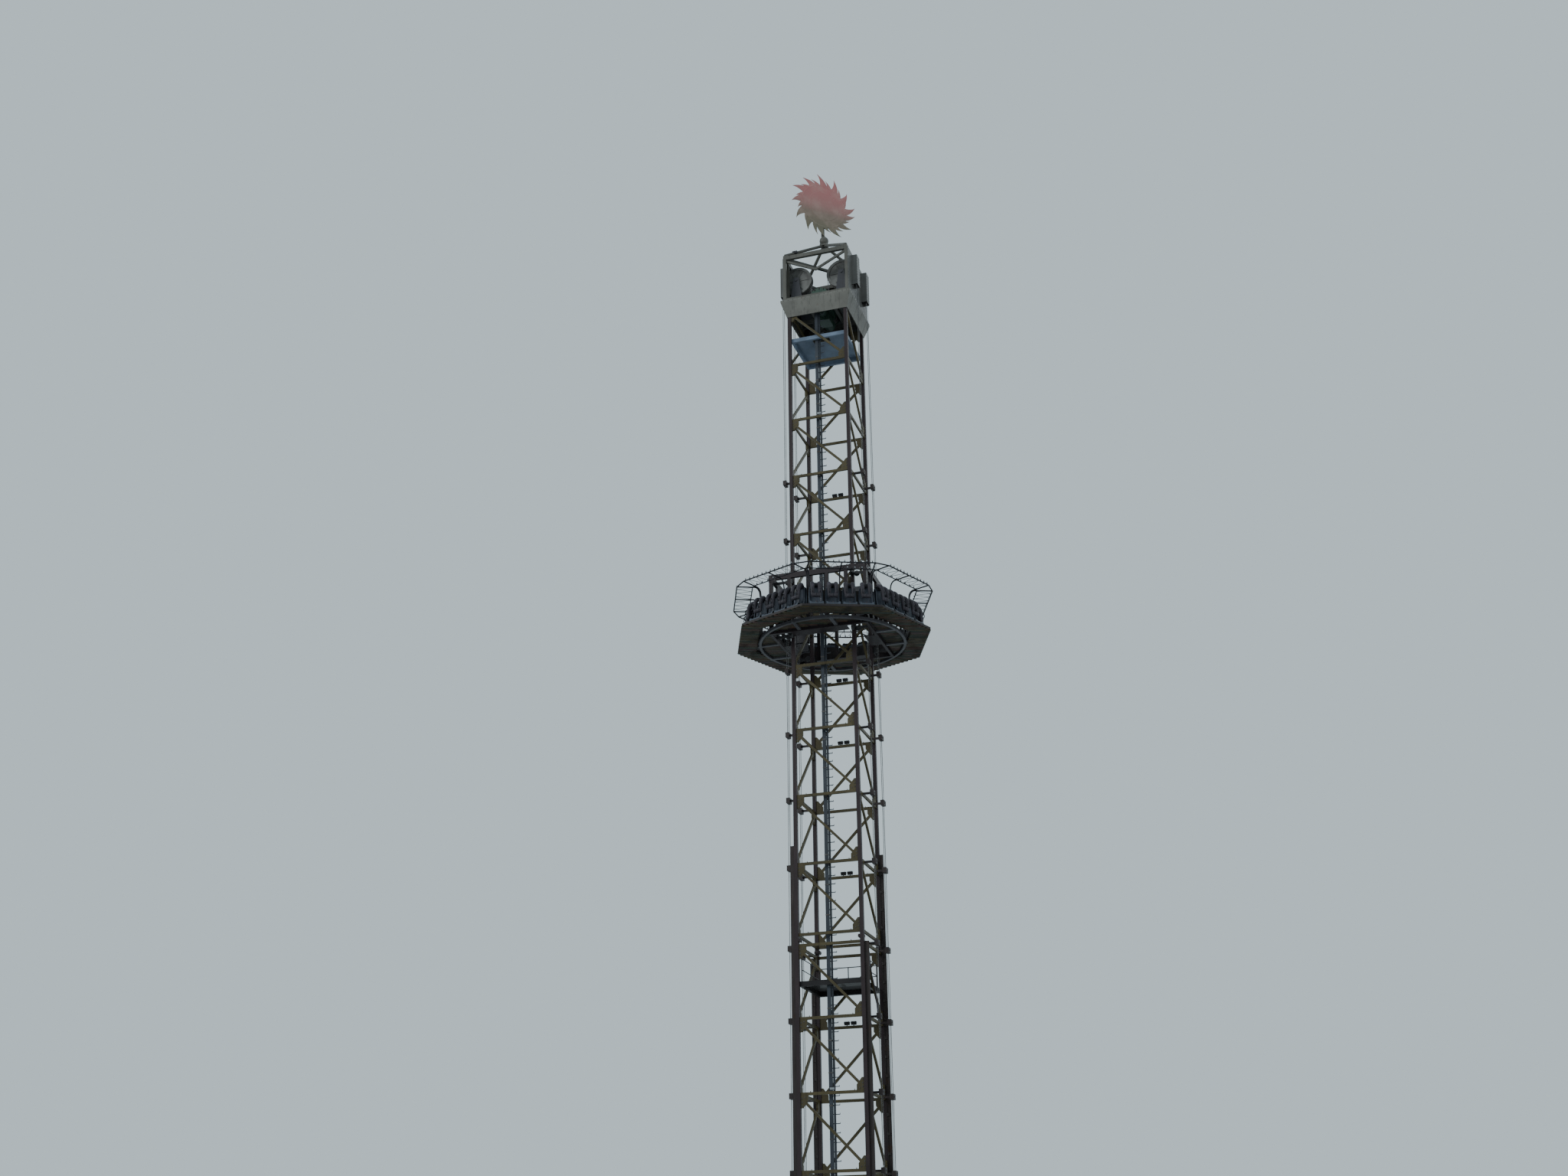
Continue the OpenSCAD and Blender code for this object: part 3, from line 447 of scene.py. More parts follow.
def join(*shapes):
    """Several shapes as one, their faces renumbered."""
    points, faces, start = [], [], 0
    for p, f in shapes:
        points.append(np.asarray(p, float))
        faces += [tuple(i + start for i in face) for face in f]
        start += len(p)
    return np.concatenate(points), faces


def copies(shape, matrices):
    """The shape repeated under each 4 by 4 matrix, worked out for all points at once."""
    points, faces = shape
    points = np.asarray(points, float)
    m = np.asarray(matrices, float)
    placed = np.einsum("mij,pj->mpi", m[:, :3, :3], points) + m[:, None, :3, 3]
    count = len(points)
    numbered = [tuple(i + k * count for i in face) for k in range(len(m)) for face in faces]
    return placed.reshape(-1, 3), numbered


def moved(place=(0, 0, 0), angle=0.0, axis=(0, 0, 1)):
    """Matrix that aims local Z along an axis at a place and then turns it about the tower's own axis."""
    z = np.asarray(axis, float) / np.linalg.norm(axis)
    x = np.cross((0, 0, 1) if abs(z[2]) < 0.9 else (0, 1, 0), z)
    x /= np.linalg.norm(x)
    m = np.eye(4)
    m[:3, 0], m[:3, 1], m[:3, 2], m[:3, 3] = x, np.cross(z, x), z, place
    c, s = math.cos(angle), math.sin(angle)
    turn = np.array([[c, -s, 0, 0], [s, c, 0, 0], [0, 0, 1, 0], [0, 0, 0, 1]])
    return turn @ m


def outwards(x, distance, z, turn=0.0):
    """Place on a face of the tower, or of what stands square to it, aimed away from the tower's axis."""
    return moved((x, -distance, z), turn, (0, -1, 0))


def round_turns(shape, angles):
    """The shape repeated about the tower's own axis."""
    return copies(shape, [moved(angle=angle) for angle in angles])


def quads(rows, columns, closed_rows=False, closed_columns=False):
    """Faces of a grid whose points are numbered row by row."""
    r = np.arange(rows if closed_rows else rows - 1)[:, None]
    c = np.arange(columns if closed_columns else columns - 1)[None, :]
    r2, c2 = (r + 1) % rows, (c + 1) % columns
    f = np.stack([r * columns + c, r * columns + c2, r2 * columns + c2, r2 * columns + c], -1)
    return [tuple(face) for face in f.reshape(-1, 4).tolist()]


def lathe(profile, sides):
    """A profile of (radius, height) turned round Z: x = r cos a, y = r sin a, with a face at each end."""
    r, z = np.asarray(profile, float).T
    a = np.arange(sides) * 2 * math.pi / sides
    grid = np.stack([r[:, None] * np.cos(a), r[:, None] * np.sin(a), z[:, None] + 0 * a], -1)
    faces = quads(len(profile), sides, closed_columns=True)
    last = (len(profile) - 1) * sides
    ends = [tuple(range(sides))[::-1], tuple(range(last, last + sides))]
    return grid.reshape(-1, 3), faces + ends


def tube(path, radius, sides=12, up=(0, 0, 1), closed=False):
    """A round tube along a path: at each point, a circle across the mean way of its two stretches, drawn out
    along the bend so that both stretches keep their roundness."""
    p = np.asarray(path, float)
    ahead = np.roll(p, -1, 0) - p
    back = p - np.roll(p, 1, 0)
    if not closed:
        ahead[-1], back[0] = back[-1], ahead[0]
    ahead /= np.linalg.norm(ahead, axis=1)[:, None]
    back /= np.linalg.norm(back, axis=1)[:, None]
    way = ahead + back
    way /= np.linalg.norm(way, axis=1)[:, None]
    side = np.cross(way, up)
    side /= np.linalg.norm(side, axis=1)[:, None]
    top = np.cross(side, way)
    widen = 1 / np.maximum(0.5, np.einsum("ij,ij->i", way, ahead))
    bend = ahead - back
    size = np.linalg.norm(bend, axis=1)[:, None]
    bend = np.where(size > 1e-6, bend / np.maximum(size, 1e-9), 0)
    a = np.arange(sides) * 2 * math.pi / sides
    ring = np.cos(a)[None, :, None] * side[:, None, :] + np.sin(a)[None, :, None] * top[:, None, :]
    along_bend = np.einsum("psj,pj->ps", ring, bend)[:, :, None] * bend[:, None, :]
    ring = ring + along_bend * (widen[:, None, None] - 1)
    r = np.broadcast_to(np.asarray(radius, float), (len(p),))[:, None, None]
    points = (p[:, None, :] + ring * r).reshape(-1, 3)
    faces = [f[::-1] for f in quads(len(p), sides, closed_rows=closed, closed_columns=True)]
    if not closed:
        last = (len(p) - 1) * sides
        faces += [tuple(range(sides)), tuple(range(last, last + sides))[::-1]]
    return points, faces


def hex_bolt(radius, height):
    """Six-sided head with a chamfer, on a round washer."""
    washer_t, rim = height * 0.22, height * 0.26
    washer = lathe([(radius * 1.55, 0), (radius * 1.55, washer_t), (radius * 1.40, rim)], 10)
    head = lathe([(radius, washer_t), (radius, height * 0.86), (radius * 0.84, height)], 6)
    return join(washer, head)


def boxes(low, high):
    """Boxes between pairs of corners, given as rows of low and high points."""
    low, high = np.atleast_2d(low).astype(float), np.atleast_2d(high).astype(float)
    pick = np.array([(i & 1, i >> 1 & 1, i >> 2 & 1) for i in range(8)])
    points = np.where(pick[None], high[:, None], low[:, None])
    sides = [(0, 2, 3, 1), (4, 5, 7, 6), (0, 1, 5, 4), (2, 6, 7, 3), (0, 4, 6, 2), (1, 3, 7, 5)]
    return points.reshape(-1, 3), [tuple(8 * n + i for i in side) for n in range(len(low)) for side in sides]


def stacked_boxes(x, y, heights, z_low, z_high):
    """Like boxes one over another, each from z_low to z_high round its own height."""
    still = 0 * heights
    low = np.stack([still + x[0], still + y[0], heights + z_low], -1)
    high = np.stack([still + x[1], still + y[1], heights + z_high], -1)
    return boxes(low, high)


def bevelled(piece, width):
    """Rounds a piece's sharp edges."""
    made = piece.modifiers.new("bevel", "BEVEL")
    made.width, made.segments = width, 2
    made.limit_method, made.angle_limit = "ANGLE", math.radians(40)


def spline(points, count):
    """Catmull-Rom curve through the points, evenly stepped in its parameter."""
    p = np.asarray(points, float)
    p = np.concatenate([2 * p[:1] - p[1:2], p, 2 * p[-1:] - p[-2:-1]])
    t = np.linspace(0, len(p) - 3, count)
    k = np.minimum(t.astype(int), len(p) - 4)
    f = (t - k)[:, None]
    a, b, c, d = p[k], p[k + 1], p[k + 2], p[k + 3]
    square, cube = 2 * a - 5 * b + 4 * c - d, 3 * b - a - 3 * c + d
    return 0.5 * (2 * b + (c - a) * f + square * f ** 2 + cube * f ** 3)


def ease(low, high, x):
    """0 below low, 1 above high and an S-shaped rise between."""
    t = np.clip((np.asarray(x, float) - low) / (high - low), 0, 1)
    return t * t * (3 - 2 * t)


def outline_normals(loop):
    """Outward unit normals of a counterclockwise closed outline."""
    way = np.roll(loop, -1, 0) - np.roll(loop, 1, 0)
    normal = np.stack([way[:, 1], -way[:, 0]], -1)
    return normal / np.linalg.norm(normal, axis=1)[:, None]


def seat_place(out, side, rise):
    """Point of a seat, from its back plane, its middle and the seat's own height."""
    return BACK_IN + out, side, SEAT_Z + rise


def bucket_seat():
    """A moulded seat about its back plane: a closed side outline of (out, rise) swept across, raised into
    bolsters near both edges and drawn in at the shoulders."""
    face = spline([(0.012, 0.376), (0.030, 0.372), (0.040, 0.34), (0.046, 0.24), (0.055, 0.11),
                   (0.078, 0.022), (0.120, -0.012), (0.18, -0.014), (0.232, -0.006), (0.262, -0.010),
                   (0.272, -0.034)], 26)
    rear = np.array([(0.266, -0.060), (0.238, -0.072), (0.13, -0.073), (0.034, -0.072), (0.014, -0.040),
                     (0.010, 0.08), (0.008, 0.2), (0.002, 0.33), (0.004, 0.366)])
    loop = np.concatenate([face, rear])[::-1]
    count = len(loop)
    normal = outline_normals(loop)
    rise = np.where(np.arange(count) >= len(rear), 1.0, 0.0)
    rise *= ease(0.37, 0.30, loop[:, 1]) * ease(0.272, 0.235, loop[:, 0])
    right = np.array([0.3, 0.62, 0.74, 0.84, 0.94, 0.985, 1])
    across = np.concatenate([-right[::-1], [0], right])
    bolster = 0.028 * ease(0.58, 0.86, abs(across))
    inset = 0.005 * ease(0.93, 1.0, abs(across)) ** 2
    raised = rise[None, :, None] * bolster[:, None, None] - inset[:, None, None]
    section = loop[None] + normal[None] * raised
    half_width = (SEAT_W / 2 - 0.001) * (1 - 0.20 * ease(0.25, 0.375, loop[:, 1]))
    place = seat_place(section[..., 0], across[:, None] * half_width[None], section[..., 1])
    points = np.stack(place, -1).reshape(-1, 3)
    faces = [f[::-1] for f in quads(len(across), count, closed_columns=True)]
    last = len(points) - count
    return points, faces + [tuple(range(count))[::-1], tuple(range(last, len(points)))]


def seat_horn():
    """The saddle horn between a rider's legs."""
    shape = lathe([(0.020, -0.012), (0.018, 0.010), (0.015, 0.030), (0.010, 0.040), (0.003, 0.043)], 14)
    return copies(shape, [moved(seat_place(0.205, 0, 0))])


def pad(path, widths):
    """A stuffed roll along a path of seat places, as thick as the widths say and rounded at both ends."""
    steps, end = 24, 0.07
    p = spline([seat_place(*point) for point in path], steps)
    t = np.linspace(0, 1, steps)
    w = np.interp(t, np.linspace(0, 1, len(widths)), widths)
    for inward in (t, 1 - t):
        w = w * np.sqrt(np.clip(1 - (1 - np.clip(inward / end, 0, 1)) ** 2, 0.03, 1))
    return tube(p, w, 14, up=(0, 1, 0))


def harness_pads():
    """Two shoulder rolls, the neck roll behind them and the chest pad between them."""
    rolls = [pad([(0.052, s * 0.058, 0.405), (0.098, s * 0.060, 0.403), (0.146, s * 0.062, 0.366),
                  (0.174, s * 0.064, 0.300), (0.180, s * 0.063, 0.210), (0.178, s * 0.060, 0.110)],
                 [0.030, 0.037, 0.038, 0.036, 0.032, 0.024]) for s in (-1, 1)]
    neck = pad([(0.064, -0.048, 0.388), (0.060, 0, 0.392), (0.064, 0.048, 0.388)], [0.036, 0.039, 0.036])
    chest = pad([(0.182, -0.056, 0.150), (0.188, 0, 0.152), (0.182, 0.056, 0.150)], [0.034, 0.040, 0.034])
    return join(*rolls, neck, chest)


def harness_tubes():
    """Steel of a restraint: the bow behind the neck with its bar, and the hand grips."""
    bow = [(0.060, -0.058, 0.411), (0.030, -0.058, 0.406), (0.018, -0.040, 0.400),
           (0.018, 0.040, 0.400), (0.030, 0.058, 0.406), (0.060, 0.058, 0.411)]
    parts = [tube(spline([seat_place(*point) for point in bow], 18), 0.011, 10)]
    for s in (-1, 1):
        grip = [(0.186, s * 0.060, 0.275), (0.222, s * 0.064, 0.268), (0.238, s * 0.066, 0.235),
                (0.226, s * 0.064, 0.196), (0.188, s * 0.060, 0.188)]
        parts.append(tube(spline([seat_place(*point) for point in grip], 14), 0.007, 8, up=(0, 1, 0)))
    parts.append(boxes(seat_place(0.004, -0.060, 0.372), seat_place(0.030, 0.060, 0.398)))
    return join(*parts)


def seats():
    """32 bucket seats and their closed restraints."""
    rows = [[moved((0, n * SEAT_PITCH, 0), side) for n in (-1.5, -0.5, 0.5, 1.5)] for side in EIGHTHS]
    for number, row in enumerate(rows, 1):
        add_piece(f"seat_row_{number}", "seat_ring", "seat_shell", copies(bucket_seat(), row), smooth=True,
                  replaces=[f"seats_{number}"])
    every = [place for row in rows for place in row]
    add_piece("seat_horns", "seat_ring", "restraint_black", copies(seat_horn(), every), smooth=True)
    add_piece("harness_pads", "seat_ring", "restraint_black", copies(harness_pads(), every), smooth=True,
              replaces=["restraints"])
    add_piece("harness_tubes", "seat_ring", "rail_black", copies(harness_tubes(), every), smooth=True)


def ring_path(v, u):
    """Closed path of the canopy round the eight sides at distance v, with each side's ends at u and eased."""
    path = np.array([(v, -u, CANOPY_Z), (v, -u + 0.02, CANOPY_Z), (v, u - 0.02, CANOPY_Z), (v, u, CANOPY_Z)])
    return round_turns((path, []), EIGHTHS)[0]


def canopy_leg(outer, top, foot, shift):
    """Bent tube from the outer rail in to the top, down to the foot, shifted sideways there."""
    z = CANOPY_Z
    bend = [(top, 0, z), (top - 0.030, 0, z - 0.008), (top - 0.062, 0, z - 0.034),
            (top - 0.088, 0, z - 0.084), (foot + 0.006, 0, z - 0.150), (foot, 0, z - 0.20)]
    path = np.concatenate([spline(bend, 16), [(foot, 0, LEG_FOOT_Z)]])
    path[:, 1] += shift
    return tube(np.concatenate([[outer], path]), TUBE_R, 12, up=(0, 1, 0))


def canopy():
    """Bent rails of round tube over the seats, with their legs, thin zigzag wires and rows of small lamps."""
    inner_u = CANOPY_U - 0.004
    parts = [tube(ring_path(CANOPY_OUT, CANOPY_U), TUBE_R, 12, closed=True),
             tube(ring_path(CANOPY_IN, inner_u), INNER_R, 10, closed=True)]
    top = CANOPY_IN - 0.040
    parts.append(round_turns(canopy_leg((CANOPY_OUT, 0, CANOPY_Z), top, LEG_FOOT, 0), EIGHTHS))
    c, s = math.cos(SIDE), math.sin(SIDE)
    pair_x, pair_y = top * c + CANOPY_U * s, top * s - CANOPY_U * c
    out_x, out_y = CANOPY_OUT * c + CANOPY_U * s, CANOPY_OUT * s - CANOPY_U * c
    for sign in (-1, 1):
        pair = canopy_leg((out_x, sign * out_y, CANOPY_Z), pair_x - TUBE_R * math.tan(SIDE), LEG_FOOT / c,
                          sign * pair_y)
        parts.append(round_turns(pair, CORNERS))
    add_piece("canopy_tubes", "seat_ring", "rail_black", join(*parts), smooth=True,
              replaces=["canopy_rail", "canopy_legs"])

    strokes = 6
    step = np.arange(strokes + 1)
    v = np.where(step % 2 == 0, CANOPY_IN, CANOPY_OUT)
    wires = []
    for half in (-1, 1):
        u = half * (0.03 + (CANOPY_U - 0.06) * step / strokes)
        turns = [(v[k], u[k], CANOPY_Z) for k in step]
        wires += [tube(stroke, 0.0035, 6) for stroke in zip(turns, turns[1:])]
    add_piece("canopy_wires", "seat_ring", "rail_black", round_turns(join(*wires), EIGHTHS), smooth=True)

    socket = lathe([(0.009, 0), (0.009, 0.012), (0.006, 0.014)], 8)
    bulb = lathe([(0.005, 0.013), (0.010, 0.018), (0.012, 0.025), (0.010, 0.032), (0.004, 0.036)], 10)
    sunk = 0.002
    rows = ((CANOPY_OUT, CANOPY_U - 0.045, 12, TUBE_R), (CANOPY_IN, inner_u - 0.06, 9, INNER_R))
    places = [moved((v, u, CANOPY_Z + tube_r - sunk), side) for v, reach, count, tube_r in rows
              for side in EIGHTHS for u in np.linspace(-reach, reach, count)]
    add_piece("lamp_sockets", "seat_ring", "rail_black", copies(socket, places), smooth=True)
    add_piece("lamp_bulbs", "seat_ring", "lamp_housing", copies(bulb, places), coat=GLASS, smooth=True)


def plank(start, end, w, z, thick):
    """A board from start to end along the planks' way, at distance w across it, with round ends and a swollen
    underside: its outline, drawn in towards its middle line at each of a few heights."""
    half_circle = np.linspace(-np.pi / 2, np.pi / 2, 7)
    r = (PLANK_PITCH - 0.004) / 2
    u = np.concatenate([end - r + r * np.cos(half_circle), start + r - r * np.cos(half_circle)])
    v = np.concatenate([r * np.sin(half_circle), -r * np.sin(half_circle)]) + w
    count = len(u)
    middle = np.stack([np.clip(u, start + r, end - r), np.full(count, w)], -1)
    edge = np.stack([u, v], -1)
    rings = [(0.55, 0.0), (0.88, 0.25), (1.0, 0.6), (1.0, 0.9), (0.94, 1.0)]
    flat = np.concatenate([np.column_stack([middle + (edge - middle) * k, np.full(count, z + thick * h)])
                           for k, h in rings])
    last = count * (len(rings) - 1)
    ends = [tuple(range(count))[::-1], tuple(range(last, last + count))]
    return round_turns((flat, quads(len(rings), count, closed_columns=True) + ends), [SIDE])


def cut(shape, w):
    """Where the line at distance w across the boards' way cuts a convex shape, given as (angle, reach) of its
    sides: the shortest way to a side that faces each end."""
    low, high = -math.inf, math.inf
    for angle, reach in shape:
        along, side = math.cos(angle), math.sin(angle)
        if abs(along) < 1e-9:
            if w * side > reach:
                return None
        elif along > 0:
            high = min(high, (reach - w * side) / along)
        else:
            low = max(low, (reach - w * side) / along)
    return (low, high) if high > low else None


def planks(outer, hole, z, thick):
    """Parallel boards with round ends between a convex outline and a convex hole in its middle."""
    boards = []
    for w in np.arange(-25.5, 26) * PLANK_PITCH:
        edge = PLANK_PITCH * 0.3 * np.sign(w)
        long, gap = cut(outer, w + edge), cut(hole, w - edge)
        runs = [] if long is None else [long] if gap is None else [(long[0], gap[0]), (gap[1], long[1])]
        boards += [plank(a, b, w, z, thick) for a, b in runs if b - a > PLANK_PITCH]
    return join(*boards)


def sides_of(count, reach, turn=0.0):
    """The sides of a regular shape as (angle, reach)."""
    return [(turn + 2 * math.pi * k / count, reach) for k in range(count)]


def underside():
    """Boards with round ends under the seat ring and under the floor of the carriage, all lying one way."""
    ring = planks(sides_of(8, RING_OUT + 0.012), sides_of(8, RING_IN + 0.044), PANEL_Z, PLANK_T)
    add_piece("underside_boards", "seat_ring", "under_paint", ring, smooth=True, replaces=["under_panels"])
    floor = planks(sides_of(48, FLOOR_REACH), sides_of(4, CARRIAGE_HALF + 0.010, -SIDE), FLOOR_Z, FLOOR_T)
    add_piece("floor_boards", "carriage", "carriage_paint", floor, coat=COATS["under_paint"], smooth=True)


def flame(foot, swing, spread, tip_r):
    """A creased flame that leans round the disc: its angle shifts by swing and its width shrinks to a point
    as it goes out from the disc to tip_r, with a ridge between its edges on both faces."""
    t = np.linspace(0, 1, 9)
    inner = SUN_DISC - 0.02
    r = inner + (tip_r - inner) * t
    lean = foot + swing * t ** 1.6
    width = spread * (1 - t) ** 1.15
    angle = np.stack([lean - width / 2, lean + width * 0.1, lean + width / 2], -1)
    edge = 0.004 + 0 * t
    h = np.stack([edge, 0.016 * (1 - 0.75 * t), edge], -1)
    x, y = r[:, None] * np.cos(angle), r[:, None] * np.sin(angle)
    rings = np.concatenate([np.stack([x, y, h], -1), np.stack([x, y, -h], -1)[:, ::-1]], 1)
    points = rings.reshape(-1, 3)
    faces = [f[::-1] for f in quads(len(t), 6, closed_columns=True)]
    last = len(points) - 6
    return points, faces + [tuple(range(6)), tuple(range(last, last + 6))[::-1]]


def sun():
    """A disc with a raised boss and a row of flames, long and short by turns, of uneven length and width."""
    half = [(0.001, 0.026), (0.20, 0.025), (0.325, 0.020), (0.335, 0.014), (SUN_DISC - 0.03, 0.012),
            (SUN_DISC - 0.012, 0.016), (SUN_DISC, 0.010)]
    parts = [lathe([(r, -z) for r, z in half] + half[::-1], 96)]
    dice = np.random.default_rng(21)
    count = 25
    over_mast = 1.5 * math.pi - 0.2
    for k in range(count):
        long = k % 2 == 0
        tip_r = SUN_R * (0.91 + 0.07 * dice.random() if long else 0.76 + 0.09 * dice.random())
        foot = 2 * math.pi * (k + 0.25 * dice.random()) / count
        if abs(foot - over_mast) < 0.2:
            tip_r = SUN_R * 0.92
        parts.append(flame(foot, 0.21, (0.35 if long else 0.27) + 0.03 * dice.random(), tip_r))
    c = math.sqrt(0.5)
    facing = np.array([[c, 0, c, 0], [c, 0, -c, 0], [0, 1, 0, SUN_Z], [0, 0, 0, 1]])
    add_piece("sun_face", "tower", "sun_paint", copies(join(*parts), [facing]), replaces=["sun"])


def gusset_bolts():
    """Places of the front face's gusset bolts, off the column's inner side and off the level bar."""
    span, plane = HALF - COLUMN / 2, HALF + BAR_T / 2
    at = []
    for low, high in zip(LEVELS, LEVELS[1:]):
        if high - low < PANEL_H / 2:
            continue
        for x, z in ((0.022, 0.045), (0.022, 0.105), (0.022, 0.160), (0.072, 0.030)):
            at += [(-span + x, plane, high - BAR_H / 2 - z), (span - x, plane, low + BAR_H / 2 + z)]
    return at


def fin_bolts():
    """Two bolts a bracket of each fin, on the strip that the brake magnets leave free."""
    return [moved((sx * BRACKET_X, sy * BRACKET_Y, z + dz), 0, (0, -sy, 0)) for sx, sy, top in FINS
            for z in np.arange(FIN_LOW + FIN_PITCH / 2, top - 0.06, FIN_PITCH) for dz in (-0.012, 0.012)]


def flange_bolts():
    """Bolts through both plates of each section joint, on the two legs of the flange."""
    row, line = (0.500, 0.533, 0.566), 0.500
    spots = [(x, line) for x in row] + [(line, y) for y in row[1:]]
    at = []
    for foot in SECTION_FEET[1:]:
        z = foot - JOINT_GAP / 2
        at += [moved((-x, -y, z + side * 0.017), q, (0, 0, side)) for q in QUARTERS for x, y in spots
               for side in (-1, 1)]
    return at


def plate_bolts():
    """Four bolts in each plate under a column, and four in each pad under a ground beam's end."""
    pairs = (-1, 1)
    at = [moved((-HALF + 0.062 * i, -HALF + 0.062 * k, BEAM_TOP + PLATE_T), q) for q in QUARTERS
          for i in pairs for k in pairs]
    for q in QUARTERS:
        for i in pairs:
            for k in pairs:
                far, near = -PAD_AT + 0.09 * i, -HALF + 0.085 * k
                at += [moved((far, near, PLATE_T), q), moved((near, far, PLATE_T), q)]
    return at


def fasteners():
    """Hex bolts at gussets, guides, fins, section flanges and ground plates, and studs on the level bars."""
    at = [outwards(x, y, z, q) for x, y, z in gusset_bolts() for q in QUARTERS]
    guide_levels = [LEVELS[k] for k in range(1, 15) if k % (PANELS + 1) != 0]
    at += [outwards(s * SHEAVE_Y, GUIDE_OUT, z, q) for q in RIGHT_AND_LEFT for s in (-1, 1)
           for z in guide_levels]
    small = join(copies(hex_bolt(0.0075, 0.007), at), copies(hex_bolt(0.0055, 0.006), fin_bolts()))
    add_piece("small_bolts", "tower", "fin_metal", small, coat=BOLT_STEEL)
    big = copies(hex_bolt(0.011, 0.013), flange_bolts() + plate_bolts())
    add_piece("flange_bolts", "tower", "fin_metal", big, coat=BOLT_STEEL)
    stud = lathe([(0.006, 0), (0.006, 0.016), (0.004, 0.020)], 8)
    at = [moved((x, -HALF, z + BAR_H / 2), q) for z in LEVELS[1:] for q in QUARTERS for x in (-0.36, 0.36)]
    add_piece("bar_studs", "tower", "bracing_paint", copies(stud, at), smooth=True)


def ladder_trim():
    """Toothed safety rail on the ladder pole, upturned ends on its pegs and bands on the cable duct."""
    low, high = BASE_H + 0.060, LEVELS[-1] - 0.060
    y = LADDER_Y - POLE_HALF
    teeth = stacked_boxes((-0.005, 0.005), (y - 0.008, y + 0.001), np.arange(low + 0.03, high - 0.03, 0.042),
                          -0.012, 0.012)
    rail = boxes((-0.010, y - 0.003, low), (0.010, y + 0.001, high))
    pegs = np.arange(low + 0.040, high - 0.020, PEG_PITCH)
    peg_y = (LADDER_Y - 0.006, LADDER_Y + 0.006)
    tips = [stacked_boxes(x, peg_y, pegs, 0.005, 0.020)
            for x in ((-PEG_REACH, -PEG_REACH + 0.005), (PEG_REACH - 0.005, PEG_REACH))]
    duct_x, duct_y = (DUCT_FAR, DUCT_NEAR), (DUCT_FRONT, LADDER_Y - 0.0075)
    bands = stacked_boxes(duct_x, duct_y, np.arange(low + 0.25, high, 0.5), -0.010, 0.010)
    add_piece("ladder_trim", "tower", "ladder_steel", join(teeth, rail, *tips))
    add_piece("duct_bands", "tower", "fin_metal", bands, coat=BOLT_STEEL)


def head_trim():
    """Cover strips and rivets on the head's sheets, rivets on guards and lip, ribs on the skirt, and a box on
    one leg."""
    wall, strip = CROWN_HALF + PANEL_T, 0.003
    low, high = CROWN_Z + 0.048, CROWN_TOP - 0.048
    side_seams, back_seams = (-0.62, -0.17, 0.17, 0.62), (-0.62, -0.31, 0, 0.31, 0.62)
    strips, rivets = [], []
    for q, seams in zip(QUARTERS[1:], (side_seams, back_seams, side_seams)):
        for x in seams:
            cover = boxes((x - 0.014, -wall - strip, low), (x + 0.014, -wall, high))
            strips.append(round_turns(cover, [q]))
            rivets += [outwards(x, wall + strip, z, q) for z in np.arange(low + 0.03, high - 0.02, 0.07)]
    add_piece("cover_strips", "tower", "panel_paint", join(*strips))
    rivets += [outwards(x, SKIRT_LIP, CROWN_Z - 0.005, q) for q in QUARTERS
               for x in np.linspace(-0.62, 0.62, 15)]
    guard_low, guard_high = 18.82, 19.42
    rivets += [outwards(x, GUARD_OUT, z, q) for q in RIGHT_AND_LEFT for x in (-0.405, -0.255, 0.255, 0.405)
               for z in np.arange(guard_low, guard_high, 0.06)]
    rivet = lathe([(0.007, 0), (0.006, 0.003), (0.003, 0.005)], 8)
    add_piece("rivets", "tower", "fin_metal", copies(rivet, rivets), coat=BOLT_STEEL, smooth=True)
    sunk = 0.004
    top_y, top_z = sunk - SKIRT_LIP, CROWN_Z - 0.028
    foot_y, foot_z = sunk - (HALF + COLUMN / 2 + 0.010), SKIRT_FOOT_Z + sunk
    ribs = [tube([(x * 1.06, top_y, top_z), (x, foot_y, foot_z)], 0.008, 6)
            for x in (-0.45, -0.15, 0.15, 0.45)]
    add_piece("skirt_ribs", "tower", "skirt_paint", round_turns(join(*ribs), QUARTERS))
    leg_box = boxes((-0.50, -0.50, 19.68), (-0.40, -0.40, 19.735))
    bevelled(add_piece("leg_box", "tower", "lamp_housing", leg_box), 0.006)


def ring_of_bolts(centre, radius, count, turn, facing):
    """Bolts on a circle round a centre, aimed to the front or the back."""
    x, y, z = centre
    angles = np.arange(count) * 2 * math.pi / count + turn
    return [moved((x + radius * math.cos(a), y, z + radius * math.sin(a)), 0, (0, facing, 0)) for a in angles]


